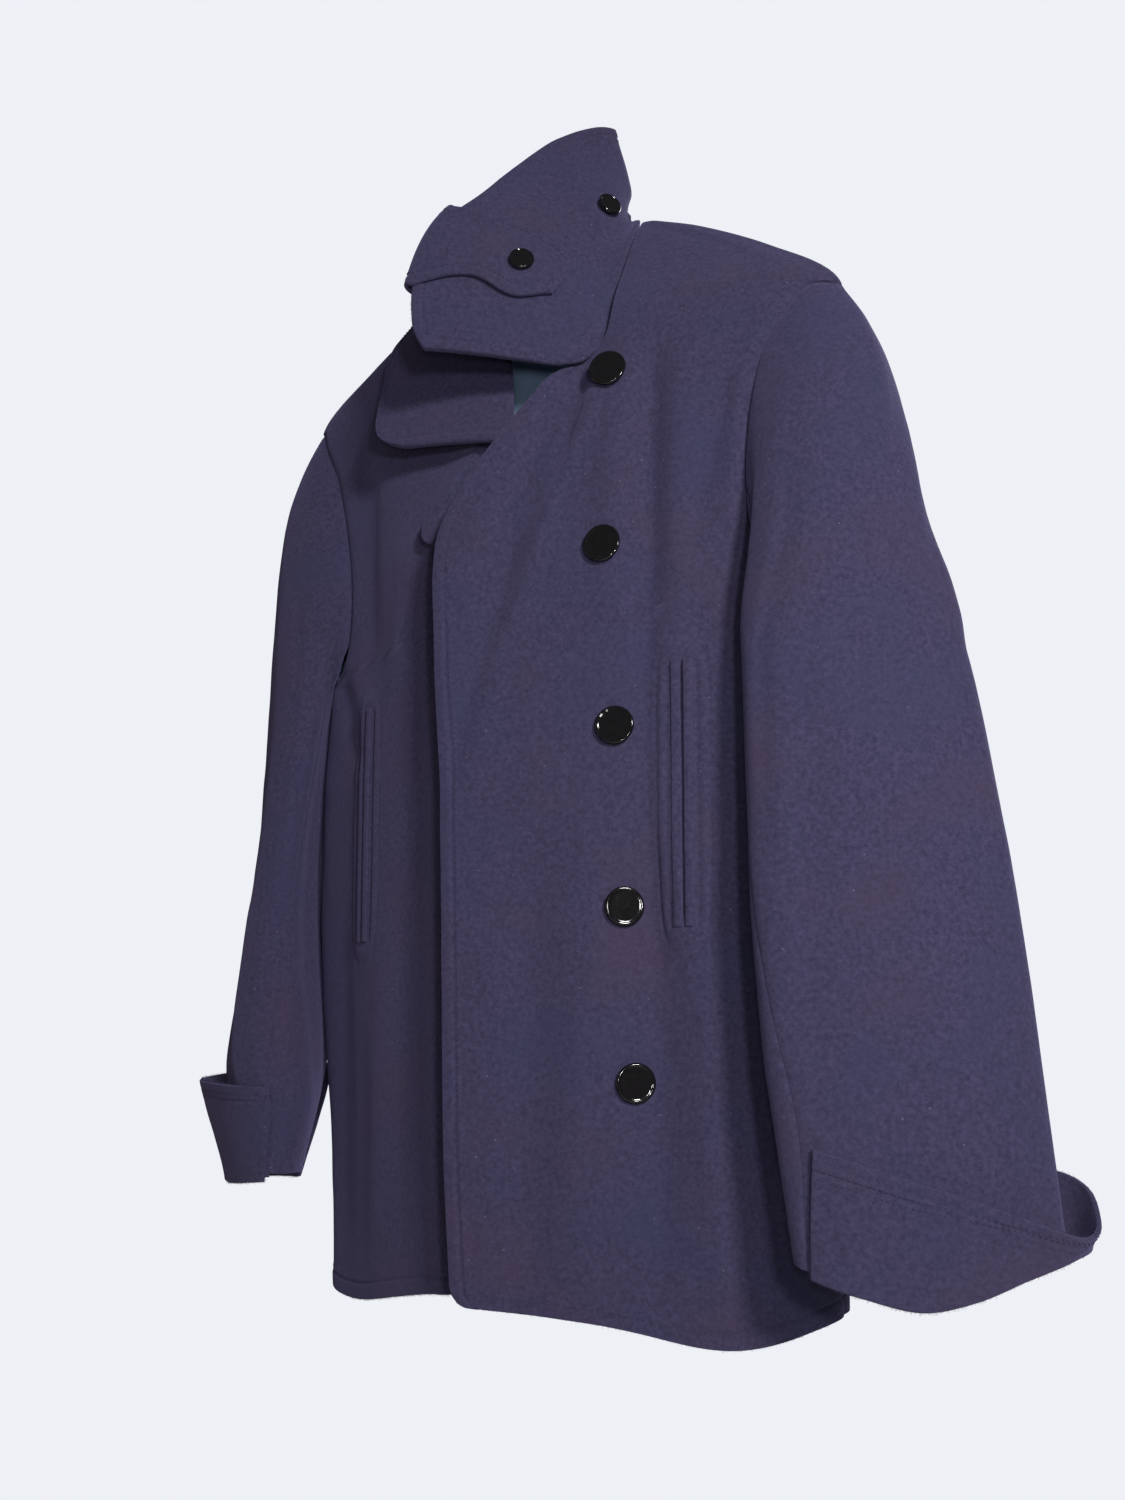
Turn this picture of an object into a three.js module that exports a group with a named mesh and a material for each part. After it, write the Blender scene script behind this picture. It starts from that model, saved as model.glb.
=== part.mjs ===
// A double breasted wool peacoat that hangs unbuttoned by its loop on a small wall hook.
// Millimetres. The wall is the plane y = 0, the coat's front faces -y, +z is up, and the
// origin is the middle of the hook plate's back. The wearer's left side is at +x.
import * as THREE from 'three';
import { mergeVertices } from 'three/addons/utils/BufferGeometryUtils.js';

// Driving sizes
const wool = 2.6;              // one layer of melton wool
const collarCloth = 4.6;       // two layers, sewn edge to edge
const liningCloth = 1.2;
const hemZ = -852;             // lowest line of the body
const armholeTop = -174;       // shoulder point
const armholeBottom = -388;    // underarm point
const neckZ = -76;             // where the shoulder seams meet the collar
const napeZ = -56;
const neckHalf = 64;           // half width of the neck opening at the back
const buttonSize = 26;
const smallButton = 18;
const pocketLength = 178;
const armSteps = 20;           // points round an armhole and a sleeve

const woolColour = 0x3a3450;
const liningColour = 0x41596f;
const buttonColour = 0x0d0b0e;
const steelColour = 0x8c8f94;

const coat = new THREE.Group();

// ---------------------------------------------------------------- tables and curves

// Cubic through the rows of a table, read at one value of its first column.
function readTable(rows, key, at) {
  let k = 0;
  while (k < rows.length - 2 && rows[k + 1][key] < at) k += 1;
  const a = rows[k];
  const b = rows[k + 1];
  const before = rows[Math.max(k - 1, 0)];
  const after = rows[Math.min(k + 2, rows.length - 1)];
  const span = b[key] - a[key];
  const s = (at - a[key]) / span;
  const result = {};
  for (const column of Object.keys(a)) {
    const slopeA = (b[column] - before[column]) / (b[key] - before[key]) * span;
    const slopeB = (after[column] - a[column]) / (after[key] - a[key]) * span;
    const s2 = s * s;
    const s3 = s2 * s;
    result[column] = (2 * s3 - 3 * s2 + 1) * a[column] + (s3 - 2 * s2 + s) * slopeA
      + (3 * s2 - 2 * s3) * b[column] + (s3 - s2) * slopeB;
  }
  return result;
}

function mix(a, b, s) {
  return a + (b - a) * s;
}

// Goes smoothly from 0 at a to 1 at b.
function ease(a, b, at) {
  const s = Math.min(Math.max((at - a) / (b - a), 0), 1);
  return s * s * (3 - 2 * s);
}

function steps(count) {
  return Array.from({ length: count + 1 }, (_, i) => i / count);
}

// ---------------------------------------------------------------- body of the coat

// Level sections of the body: x of the near and far side lines, how far out from the wall
// the sides, the foremost line and the back lie, and where the foremost line is.
const bodySections = [
  { z: -890, near: 196, far: -204, side: -42, peakX: -24, peak: -162, back: -8 },
  { z: -760, near: 199, far: -211, side: -42, peakX: -32, peak: -161, back: -7 },
  { z: -620, near: 200, far: -225, side: -42, peakX: -36, peak: -159, back: -7 },
  { z: -480, near: 200, far: -226, side: -43, peakX: -41, peak: -157, back: -8 },
  { z: -390, near: 203, far: -217, side: -45, peakX: -46, peak: -155, back: -9 },
  { z: -310, near: 207, far: -213, side: -50, peakX: -48, peak: -150, back: -10 },
  { z: -230, near: 214, far: -218, side: -57, peakX: -38, peak: -140, back: -13 },
  { z: -172, near: 221, far: -226, side: -62, peakX: -20, peak: -125, back: -17 },
  { z: -130, near: 173, far: -178, side: -60, peakX: -10, peak: -106, back: -20 },
  { z: -95, near: 118, far: -124, side: -58, peakX: 0, peak: -88, back: -22 },
  { z: -72, near: 74, far: -78, side: -54, peakX: 0, peak: -76, back: -24 },
  { z: -48, near: 50, far: -54, side: -46, peakX: 0, peak: -60, back: -25 },
];

// Round a section, starting at the near side line. "front" runs from the near side to the
// foremost line, "turn" from there to the far side, "rear" across the back.
const sectionColumns = [
  { part: 'front', across: 0, out: 0 },
  { part: 'front', across: 0.05, out: 0.26 },
  { part: 'front', across: 0.18, out: 0.42 },
  { part: 'front', across: 0.36, out: 0.56 },
  { part: 'front', across: 0.56, out: 0.71 },
  { part: 'front', across: 0.78, out: 0.865 },
  { part: 'front', across: 1, out: 1 },
  { part: 'turn', across: 0.22, out: 0.83 },
  { part: 'turn', across: 0.47, out: 0.62 },
  { part: 'turn', across: 0.72, out: 0.43 },
  { part: 'turn', across: 0.93, out: 0.25 },
  { part: 'turn', across: 1, out: 0 },
  { part: 'rear', across: 0.035, out: 0.78 },
  { part: 'rear', across: 0.22, out: 1 },
  { part: 'rear', across: 0.5, out: 1 },
  { part: 'rear', across: 0.78, out: 1 },
  { part: 'rear', across: 0.965, out: 0.78 },
];
const around = sectionColumns.length;
const foremost = 6;            // column numbers that other pieces refer to
const farSide = 11;
const rearMiddle = 14;

// The large folds of the cloth: a soft trough from its top to its foot.
const bodyFolds = [
  { topX: 102, topZ: -190, footX: 100, footZ: -430, width: 15, depth: 5 },
  { topX: 62, topZ: -185, footX: -20, footZ: -400, width: 17, depth: 6 },
  { topX: 100, topZ: -560, footX: 104, footZ: -800, width: 20, depth: 4 },
  { topX: -160, topZ: -210, footX: -140, footZ: -420, width: 16, depth: 5 },
  { topX: -84, topZ: -480, footX: -92, footZ: -790, width: 18, depth: 4 },
];
const rearFolds = [
  { topX: -100, topZ: -210, footX: -120, footZ: -620, width: 26, depth: 4 },
  { topX: 96, topZ: -200, footX: 120, footZ: -560, width: 26, depth: 4 },
];

function foldDepth(folds, x, z) {
  let depth = 0;
  for (const fold of folds) {
    const s = (z - fold.topZ) / (fold.footZ - fold.topZ);
    const line = mix(fold.topX, fold.footX, s);
    const fade = ease(-0.12, 0.2, s) * ease(1.12, 0.7, s);
    depth += fold.depth * fade * Math.exp(-(((x - line) / fold.width) ** 2));
  }
  return depth;
}

function sectionPoint(row, column) {
  const { part, across, out } = sectionColumns[(column + around) % around];
  if (part === 'front') {
    return [mix(row.near, row.peakX, across), mix(row.side, row.peak, out)];
  }
  if (part === 'turn') {
    return [mix(row.peakX, row.far, across), mix(row.side, row.peak, out)];
  }
  return [mix(row.far, row.near, across), mix(row.side, row.back, out)];
}

// A point of the body's outer surface: u counts the section columns, z is the height.
function bodyPoint(u, z) {
  const row = readTable(bodySections, 'z', z);
  const k = Math.floor(u);
  const s = u - k;
  const xy = [0, 1].map((axis) => {
    const [a, b, c, d] = [-1, 0, 1, 2].map((i) => sectionPoint(row, k + i)[axis]);
    return 0.5 * (2 * b + (c - a) * s + (2 * a - 5 * b + 4 * c - d) * s * s
      + (3 * b - a - 3 * c + d) * s * s * s);
  });
  const turned = ((u % around) + around) % around;
  const inFront = turned < farSide;
  const press = inFront ? foldDepth(bodyFolds, xy[0], z) : -foldDepth(rearFolds, xy[0], z);
  return new THREE.Vector3(xy[0], xy[1] + press, z);
}

function bodyNormal(u, z) {
  const step = 0.02;
  const alongU = bodyPoint(u + step, z).sub(bodyPoint(u - step, z));
  const alongZ = bodyPoint(u, z + 1).sub(bodyPoint(u, z - 1));
  return alongZ.cross(alongU).normalize();
}

// The body's surface moved out by some millimetres, or in where the number is negative.
function bodyOffset(u, z, out) {
  return bodyPoint(u, z).addScaledVector(bodyNormal(u, z), out);
}

// The column value at which the front crosses a given x.
function frontColumn(x, z) {
  let low = 0;
  let high = farSide;
  for (let i = 0; i < 40; i += 1) {
    const middle = (low + high) / 2;
    if (bodyPoint(middle, z).x > x) low = middle;
    else high = middle;
  }
  return (low + high) / 2;
}

// ---------------------------------------------------------------- cloth walls

// A closed wall from rows of outer points and rows of inner ones. Columns run from the
// wearer's left side round the front to the right side, and rows run upwards.
function clothWall(outer, inner) {
  const high = outer.length;
  const wide = outer[0].length;
  const positions = [outer, inner].flatMap((rows) => rows.flat().flatMap((p) => p.toArray()));
  const shift = high * wide;
  const at = (i, j) => j * wide + i;
  const index = [];
  const quad = (a, b, c, d) => index.push(a, b, c, a, c, d);
  for (let j = 0; j < high - 1; j += 1) {
    for (let i = 0; i < wide - 1; i += 1) {
      quad(at(i, j), at(i, j + 1), at(i + 1, j + 1), at(i + 1, j));
      quad(at(i, j) + shift, at(i + 1, j) + shift, at(i + 1, j + 1) + shift, at(i, j + 1) + shift);
    }
  }
  const end = wide - 1;
  const top = high - 1;
  for (let j = 0; j < top; j += 1) {
    quad(at(0, j), at(0, j) + shift, at(0, j + 1) + shift, at(0, j + 1));
    quad(at(end, j), at(end, j + 1), at(end, j + 1) + shift, at(end, j) + shift);
  }
  for (let i = 0; i < end; i += 1) {
    quad(at(i, 0), at(i + 1, 0), at(i + 1, 0) + shift, at(i, 0) + shift);
    quad(at(i, top), at(i, top) + shift, at(i + 1, top) + shift, at(i + 1, top));
  }
  const geometry = new THREE.BufferGeometry();
  geometry.setAttribute('position', new THREE.Float32BufferAttribute(positions, 3));
  geometry.setIndex(index);
  return geometry;
}

// A point of a surface that is a function of two values, moved along the surface's normal.
function raised(surface, u, v, out, step = 0.01) {
  const alongU = surface(u + step, v).sub(surface(u - step, v));
  const alongV = surface(u, v + step).sub(surface(u, v - step));
  return surface(u, v).addScaledVector(alongV.cross(alongU).normalize(), out);
}

function finish(color, roughness, metalness) {
  return new THREE.MeshStandardMaterial({ color, roughness, metalness });
}

function addPiece(name, geometry, material) {
  const mesh = new THREE.Mesh(geometry, material);
  mesh.name = name;
  coat.add(mesh);
  return mesh;
}

// rowsAt gives the rows of the piece's surface, moved out by some millimetres.
function addWool(name, rowsAt, thickness = wool) {
  addPiece(name, clothWall(rowsAt(0), rowsAt(-thickness)), finish(woolColour, 0.95, 0));
}

// ---------------------------------------------------------------- fronts and back

// Rows of the body panels: level from the hem to the underarm, in equal turns up the
// armhole, then up the shoulder seam.
const armTurns = armSteps / 2;
const armMiddle = (armholeTop + armholeBottom) / 2;
const armHalf = (armholeTop - armholeBottom) / 2;
const skirtRows = 9;
const shoulderRows = 5;

function armholeZ(turn) {
  return armMiddle + armHalf * Math.sin(turn);
}

const panelLevels = [
  ...steps(skirtRows).slice(0, -1).map((s) => mix(hemZ, armholeBottom, s)),
  ...steps(armTurns).map((s) => armholeZ((s - 0.5) * Math.PI)),
];
const shoulderLevels = steps(shoulderRows).slice(1).map((s) => mix(armholeTop, neckZ, s));

// Armholes: how many section columns one cuts into the panel at mid height, how much deeper
// it is low down, and how square it is (1 is an ellipse).
const armholeCuts = {
  leftFront: { reach: 2.05, lower: 0, square: 0.3 },
  rightFront: { reach: 1.6, lower: 0.3, square: 0.3 },
  rear: { reach: 1.25, lower: 0, square: 0.6 },
};

// How far an armhole reaches in from the side line at some height.
function armholeCut(z, { reach, lower, square }) {
  const s = (z - armMiddle) / armHalf;
  return Math.abs(s) >= 1 ? 0 : reach * (1 - lower * s) * (1 - s * s) ** (square / 2);
}

// Hem: the front corner is a little higher, and the hem sags towards the side.
function hemDrop(u, z) {
  const near = -17 * Math.exp(-(((u - 2.4) / 1.42) ** 2));
  const far = -15 * Math.exp(-(((u - 9.3) / 1.5) ** 2));
  const corner = 6 * Math.exp(-(((u - foremost - 0.4) / 1.2) ** 2));
  return (near + far + corner) * ease(hemZ + 90, hemZ, z);
}

// Columns of a panel from a to b. They stay where they are beyond the pivot, so that an
// armhole bends only the ones beside it.
function panelColumns(a, b, before, after, pivot) {
  const middle = THREE.MathUtils.clamp(pivot, mix(a, b, 0.2), mix(a, b, 0.8));
  return [...steps(before).map((s) => mix(a, middle, s)),
    ...steps(after).slice(1).map((s) => mix(middle, b, s))];
}

function panel(levels, from, to, { before, after, pivot, over = () => 0 }) {
  return (out) => levels.map((z) => (
    panelColumns(from(z), to(z), before, after, pivot).map((u) => (
      bodyOffset(u, z + hemDrop(u, z), over(u, z) + out)))));
}

const halfSeam = 0.006;        // half a seam gap, as a share of a section column

// Front edge, roll line and collar seam of the wearer's left front, from the hem up.
const leftEdge = [
  { z: -852, x: -23 }, { z: -760, x: -30 }, { z: -650, x: -34 }, { z: -515, x: -39 },
  { z: -400, x: -47 }, { z: -331, x: -49 }, { z: -296, x: -34 }, { z: -262, x: -12 },
  { z: -228, x: 15 }, { z: -211, x: 30 }, { z: -200, x: 54 }, { z: -184, x: 66 },
  { z: -140, x: 69 }, { z: -100, x: 70.5 }, { z: -76, x: 71 },
];
// The same on the right front, whose edge lies hidden under the left one.
const rightEdge = [
  { z: -852, x: 62 }, { z: -760, x: 58 }, { z: -620, x: 54 }, { z: -480, x: 50 },
  { z: -345, x: 46 }, { z: -290, x: 14 }, { z: -240, x: -16 }, { z: -190, x: -38 },
  { z: -140, x: -56 }, { z: -100, x: -64 }, { z: -76, x: -68 },
];

function edgeColumn(table, z) {
  return frontColumn(readTable(table, 'z', z).x, z);
}

// The right front sinks in under the left one.
function rightFrontOut(u, z) {
  const tuck = mix(15, 25, ease(-330, -230, z));
  return -tuck * ease(foremost + 2.4, foremost + 0.3, u);
}

const frontLevels = [...panelLevels, ...shoulderLevels];

addWool('front_left', panel(frontLevels,
  (z) => armholeCut(z, armholeCuts.leftFront) + halfSeam,
  (z) => edgeColumn(leftEdge, z) - halfSeam, { before: 6, after: 8, pivot: 2.8 }));

addWool('front_right', panel(frontLevels,
  (z) => edgeColumn(rightEdge, z) + halfSeam,
  (z) => farSide - armholeCut(z, armholeCuts.rightFront) - halfSeam,
  { before: 9, after: 4, pivot: 8.6, over: rightFrontOut }));

// The back's top edge rises from the shoulder seams to the nape.
const backLevels = [...panelLevels, ...shoulderLevels];
function backPanel(from, to, pivot) {
  const rowsAt = panel(backLevels, from, to, { before: 3, after: 3, pivot });
  return (out) => rowsAt(out).map((row, j) => row.map((point) => {
    const lift = Math.max(j - (backLevels.length - 4), 0) / 3;
    const rise = (napeZ - neckZ) * (1 - Math.min(Math.abs(point.x) / neckHalf, 1) ** 2);
    return point.setZ(point.z + rise * lift);
  }));
}

addWool('back_right', backPanel(
  (z) => farSide + armholeCut(z, armholeCuts.rear) + halfSeam,
  () => rearMiddle - halfSeam, 12.7));
addWool('back_left', backPanel(
  () => rearMiddle + halfSeam,
  (z) => around - armholeCut(z, armholeCuts.rear) - halfSeam, 15.3));

// Lining behind the neck
const liningLevels = steps(8).map((s) => mix(-330, -92, s));
const lining = panel(liningLevels, () => rearMiddle - 0.9, () => rearMiddle + 0.9,
  { before: 4, after: 4, pivot: rearMiddle, over: () => -wool - 2 });
addPiece('lining_back', clothWall(lining(0), lining(-liningCloth)), finish(liningColour, 0.6, 0));

// ---------------------------------------------------------------- lapels and pockets

// A patch on a front: rows between two x values, at some height over the body.
function patch(table, levels, columns, over) {
  return (out) => levels.map((z) => {
    const { left, right } = readTable(table, 'z', z);
    return steps(columns).map((s) => {
      const u = frontColumn(mix(left, right, s), z);
      return bodyOffset(u, z, over(u, s, z) + out);
    });
  });
}

// Wearer's right lapel, folded out flat on the chest; only its point shows.
const lapelRight = [
  { z: -345, left: 40, right: -8 }, { z: -332, left: 36, right: -50 },
  { z: -318, left: 28, right: -76 }, { z: -304, left: 18, right: -80 },
  { z: -290, left: 9, right: -68 }, { z: -274, left: 1, right: -53 },
  { z: -258, left: -8, right: -36 },
];
addWool('lapel_right', patch(lapelRight, steps(8).map((s) => mix(-345, -258, s)), 7,
  (u, s, z) => rightFrontOut(u, z) + 7.2 + 1.2 * ease(0.5, 1, s)));

// Wearer's left lapel, folded in behind the roll line.
const lapelLeft = [
  { z: -322, left: -10, right: -40 }, { z: -300, left: 16, right: -28 },
  { z: -270, left: 40, right: -9 }, { z: -240, left: 52, right: 12 },
  { z: -222, left: 58, right: 28 },
];
addWool('lapel_left', patch(lapelLeft, steps(6).map((s) => mix(-322, -222, s)), 5,
  () => -wool - 1.4), 2.2);

// Two welts to a pocket, either side of its slit.
const weltWide = 6.4;
const weltGap = 1.2;
const weltHigh = 2.7;
const pockets = [
  { side: 'left', x: 118, top: -428 },
  { side: 'right', x: -143, top: -428 },
];
for (const pocket of pockets) {
  const levels = steps(8).map((s) => mix(pocket.top - pocketLength, pocket.top, s));
  for (const [place, sign] of [['front', -1], ['rear', 1]]) {
    const inner = pocket.x + Math.sign(pocket.x) * sign * weltGap / 2;
    const outer = inner + Math.sign(pocket.x) * sign * weltWide;
    const table = [-900, -100].map((z) => (
      { z, left: Math.max(inner, outer), right: Math.min(inner, outer) }));
    addWool(`welt_${place}_${pocket.side}`, patch(table, levels, 2,
      (u, s) => weltHigh + Math.sin(Math.PI * s)), weltHigh - 0.7);
  }
}

// ---------------------------------------------------------------- collar

// Ribs of a collar piece: a point on its seam or fold, one on its free edge, how far the
// cloth between them bellies out, and how far it steps in just over the seam.
const standingRibs = [
  { at: -4, sx: -58, sy: -45, sz: -66, ex: -66, ey: -48, ez: -4, belly: 2, foot: 0 },
  { at: -3, sx: -36, sy: -31, sz: -57, ex: -40, ey: -38, ez: 16, belly: 2, foot: 0 },
  { at: -2, sx: 0, sy: -27.5, sz: -54, ex: -4, ey: -33, ez: 27, belly: 2, foot: 1 },
  { at: -1, sx: 38, sy: -33, sz: -58, ex: 20, ey: -33, ez: 33, belly: 4, foot: 5 },
  { at: 0, sx: 60, sy: -45, sz: -66, ex: 33, ey: -41, ez: 27, belly: 6, foot: 13 },
  { at: 1, sx: 68, sy: -58, sz: -72, ex: 22, ey: -57, ez: 23, belly: 5, foot: 13 },
  { at: 2, sx: 69, sy: -76, sz: -98, ex: 3, ey: -77, ez: 6, belly: 4, foot: 6 },
  { at: 3, sx: 67, sy: -92, sz: -132, ex: -13, ey: -104, ez: -25, belly: 3, foot: 3 },
  { at: 4, sx: 65, sy: -103, sz: -164, ex: -26, ey: -131, ez: -59, belly: 3, foot: 1 },
  { at: 5, sx: 62, sy: -112, sz: -186, ex: -46, ey: -158, ez: -95, belly: 4, foot: 0 },
  { at: 6, sx: 49, sy: -121, sz: -203, ex: -57, ey: -173, ez: -145, belly: 4, foot: 0 },
  { at: 7, sx: 34, sy: -127, sz: -209, ex: -51, ey: -179, ez: -196, belly: 3, foot: 0 },
];
// The right wing is turned down: from its free edge up to the fold round the neck.
const wingRightRibs = [
  { at: 0, sx: -108, sy: -135, sz: -240, ex: -3, ey: -126, ez: -254, belly: 2, foot: 0 },
  { at: 1, sx: -122, sy: -131, sz: -220, ex: -6, ey: -119, ez: -230, belly: 4, foot: 0 },
  { at: 2, sx: -125, sy: -121, sz: -186, ex: -13, ey: -109, ez: -191, belly: 6, foot: 0 },
  { at: 3, sx: -125, sy: -110, sz: -150, ex: -27, ey: -97, ez: -146, belly: 8, foot: 0 },
  { at: 4, sx: -120, sy: -94, sz: -124, ex: -50, ey: -81, ez: -98, belly: 9, foot: 0 },
  { at: 5, sx: -106, sy: -78, sz: -100, ex: -60, ey: -65, ez: -61, belly: 8, foot: 0 },
];

function ribPoint(ribs, u, v) {
  const rib = readTable(ribs, 'at', u);
  const seam = new THREE.Vector3(rib.sx, rib.sy, rib.sz);
  const edge = new THREE.Vector3(rib.ex, rib.ey, rib.ez);
  const next = readTable(ribs, 'at', u + 0.05);
  const along = new THREE.Vector3(next.sx + next.ex, next.sy + next.ey, next.sz + next.ez)
    .sub(seam).sub(edge);
  const out = edge.clone().sub(seam).cross(along).normalize();
  const foot = rib.foot * Math.exp(-(((v - 0.14) / 0.12) ** 2)) * ease(0, 0.12, v);
  return seam.lerp(edge, v).addScaledVector(out, rib.belly * 4 * v * (1 - v) - foot);
}

// Rows of a collar piece between two ribs, each given for the outer and the inner face. The
// corners of the free edge are rounded by drawing the last ribs in.
function ribRows(ribs, from, to, columns, rows, corner = () => 1) {
  const surface = (u, v) => ribPoint(ribs, u, v);
  return (out) => steps(rows).map((v) => steps(columns).map((s) => {
    const u = mix(from(out), to(out), s);
    return raised(surface, u, mix(0.012, corner(u), v), out);
  }));
}

// Half the gap at the collar's side, as a share of a rib: the cut is mitred, so it is wider
// on the inner face.
function ribGap(out) {
  return 0.015 - 0.013 * out;
}
function wingCorner(u) {
  return 1 - 0.07 * Math.max(0, (u - 6.6) / 0.4) ** 2;
}
addWool('collar_wing_left', ribRows(standingRibs, ribGap, () => 7, 18, 8, wingCorner),
  collarCloth);
addWool('collar_back', ribRows(standingRibs, () => -4, (out) => -ribGap(out), 8, 8),
  collarCloth);
addWool('collar_wing_right', ribRows(wingRightRibs, () => 0, () => 5, 10, 7), collarCloth);

// Throat latch: it lies on the left wing, wraps round its free edge and returns inside.
const latchWide = [
  { v: 0.26, top: 3.7, low: 5.3 },
  { v: 0.45, top: 3.75, low: 5.75 },
  { v: 0.7, top: 4.1, low: 5.6 },
  { v: 1, top: 4.6, low: 6.1 },
];
const latchOver = 3.4;         // outer face of the latch over the wing's outer face
const latchInsideEnd = 0.55;

function wingNormal(u, v) {
  const surface = (a, b) => ribPoint(standingRibs, a, b);
  return raised(surface, u, v, 1).sub(ribPoint(standingRibs, u, v));
}

function latchRows(out) {
  const wrapCentre = collarCloth / 2;
  const wrapRadius = collarCloth / 2 + latchOver + out;
  const path = [
    ...[0.26, 0.38, 0.5, 0.62, 0.74, 0.87, 1].map((v) => ({ v, turn: 0 })),
    ...[36, 72, 108, 144].map((turn) => ({ v: 1, turn })),
    ...[1, 0.85, 0.7, latchInsideEnd].map((v) => ({ v, turn: 180 })),
  ];
  return path.map(({ v, turn }) => {
    const wide = readTable(latchWide, 'v', v);
    return steps(5).map((s) => {
      const u = mix(wide.top, wide.low, s);
      const normal = wingNormal(u, v);
      const base = ribPoint(standingRibs, u, v);
      const over = base.clone().sub(ribPoint(standingRibs, u, v - 0.03)).normalize();
      const angle = THREE.MathUtils.degToRad(turn);
      return base.addScaledVector(normal, -wrapCentre + wrapRadius * Math.cos(angle))
        .addScaledVector(over, (wrapRadius + 0.8) * Math.sin(angle));
    });
  });
}
addWool('throat_latch', latchRows);

// ---------------------------------------------------------------- sleeves

// Level rings of a hanging sleeve: its front edge, its back edge and its half thickness.
const sleeveLeft = [
  { z: -830, frontX: 203, frontY: -139, backX: 338, backY: -58, thick: 22 },
  { z: -736, frontX: 189, frontY: -136, backX: 329, backY: -56, thick: 24 },
  { z: -688, frontX: 182, frontY: -134, backX: 324, backY: -53, thick: 26 },
  { z: -600, frontX: 174, frontY: -130, backX: 314.5, backY: -48, thick: 27 },
  { z: -546, frontX: 171, frontY: -126, backX: 307.5, backY: -47, thick: 27 },
  { z: -480, frontX: 168, frontY: -122, backX: 297.5, backY: -46, thick: 27 },
  { z: -430, frontX: 165, frontY: -117, backX: 288, backY: -46, thick: 27 },
];
const sleeveRight = [
  { z: -790, frontX: -209, frontY: -122, backX: -316, backY: -33, thick: 24 },
  { z: -730, frontX: -206, frontY: -125, backX: -306, backY: -27, thick: 35 },
  { z: -690, frontX: -214, frontY: -129, backX: -297, backY: -18, thick: 38 },
  { z: -610, frontX: -226, frontY: -119, backX: -292, backY: -13, thick: 30 },
  { z: -540, frontX: -230, frontY: -106, backX: -292, backY: -14, thick: 26 },
  { z: -430, frontX: -215, frontY: -98, backX: -289, backY: -25, thick: 25 },
];
const capZ = -430;             // the sleeve head ends here
const capRows = 8;
const legRows = 8;
// Where the front seam runs, as a share of the way round from the front edge. v is 0 at the
// armhole, 1 at the end of the sleeve head and 2 at the sleeve's end.
const frontSeam = {
  left: [
    { v: 0, share: -0.05 }, { v: 1, share: -0.05 }, { v: 1.35, share: 0.04 },
    { v: 1.57, share: 0.09 }, { v: 1.77, share: 0.105 }, { v: 2, share: 0.06 },
  ],
  right: [
    { v: 0, share: -0.09 }, { v: 1, share: -0.09 }, { v: 1.43, share: -0.065 },
    { v: 1.6, share: -0.025 }, { v: 1.74, share: 0 }, { v: 2, share: 0.03 },
  ],
};
const backSeam = 0.5;
const armSeam = 1.2;            // from the armhole's edge to the sleeve head
const headFullness = { left: 14, right: 1 };   // how far the head swells out over the arm

// A point of a level ring; share 0 is the front edge, 0.25 the outer side, 0.5 the back edge.
function ringPoint(table, side, share, z) {
  const ring = readTable(table, 'z', z);
  const centre = new THREE.Vector2((ring.frontX + ring.backX) / 2, (ring.frontY + ring.backY) / 2);
  const reach = new THREE.Vector2(ring.backX - ring.frontX, ring.backY - ring.frontY)
    .multiplyScalar(0.5);
  const out = new THREE.Vector2(reach.y, -reach.x).normalize().multiplyScalar(side);
  const angle = share * 2 * Math.PI;
  const flat = Math.sign(Math.sin(angle)) * Math.abs(Math.sin(angle)) ** 0.8;
  return new THREE.Vector3(
    centre.x - reach.x * Math.cos(angle) + out.x * ring.thick * flat,
    centre.y - reach.y * Math.cos(angle) + out.y * ring.thick * flat, z);
}

// The armhole line of the body, with the same shares as a ring.
function armholePoint(side, share) {
  const angle = share * 2 * Math.PI;
  const z = armholeZ(Math.asin(Math.sin(angle)));
  const inFront = Math.cos(angle) >= 0;
  if (side > 0) {
    return bodyPoint(inFront ? armholeCut(z, armholeCuts.leftFront)
      : around - armholeCut(z, armholeCuts.rear), z);
  }
  return bodyPoint(inFront ? farSide - armholeCut(z, armholeCuts.rightFront)
    : farSide + armholeCut(z, armholeCuts.rear), z);
}

// Leaves the armhole outwards and bends down into the first ring.
function sleevePoint(table, side, share, v) {
  if (v <= 1) {
    const angle = share * 2 * Math.PI;
    const start = armholePoint(side, share);
    const end = ringPoint(table, side, share, capZ);
    const far = start.distanceTo(end);
    const up = Math.sin(angle);
    const front = Math.max(Math.cos(angle), 0);
    const leave = new THREE.Vector3(side * (0.52 + 0.11 * up), -0.08 - 0.4 * front, -0.8 - 0.04 * up)
      .normalize();
    const below = ringPoint(table, side, share, capZ - 40);
    const arrive = below.sub(end).normalize().multiplyScalar(far);
    const s2 = v * v;
    const s3 = s2 * v;
    const point = start.clone().multiplyScalar(2 * s3 - 3 * s2 + 1)
      .addScaledVector(leave, (s3 - 2 * s2 + v) * far)
      .addScaledVector(end, 3 * s2 - 2 * s3)
      .addScaledVector(arrive, s3 - s2);
    const fullness = headFullness[side > 0 ? 'left' : 'right'];
    const full = fullness * 6.75 * v * v * (1 - v) * Math.max(up, 0) ** 0.5;
    const clear = (1 - v) * 6.5 * ease(-0.75, -1, up);
    return point.addScaledVector(leave, (1 - v) * armSeam)
      .addScaledVector(new THREE.Vector3(side * 0.8, 0.35, 0), full)
      .addScaledVector(new THREE.Vector3(side * 0.8, -0.6 * ease(0, 0.3, front), 0), clear);
  }
  return ringPoint(table, side, share, mix(capZ, sleeveFoot(table, share), v - 1));
}

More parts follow.
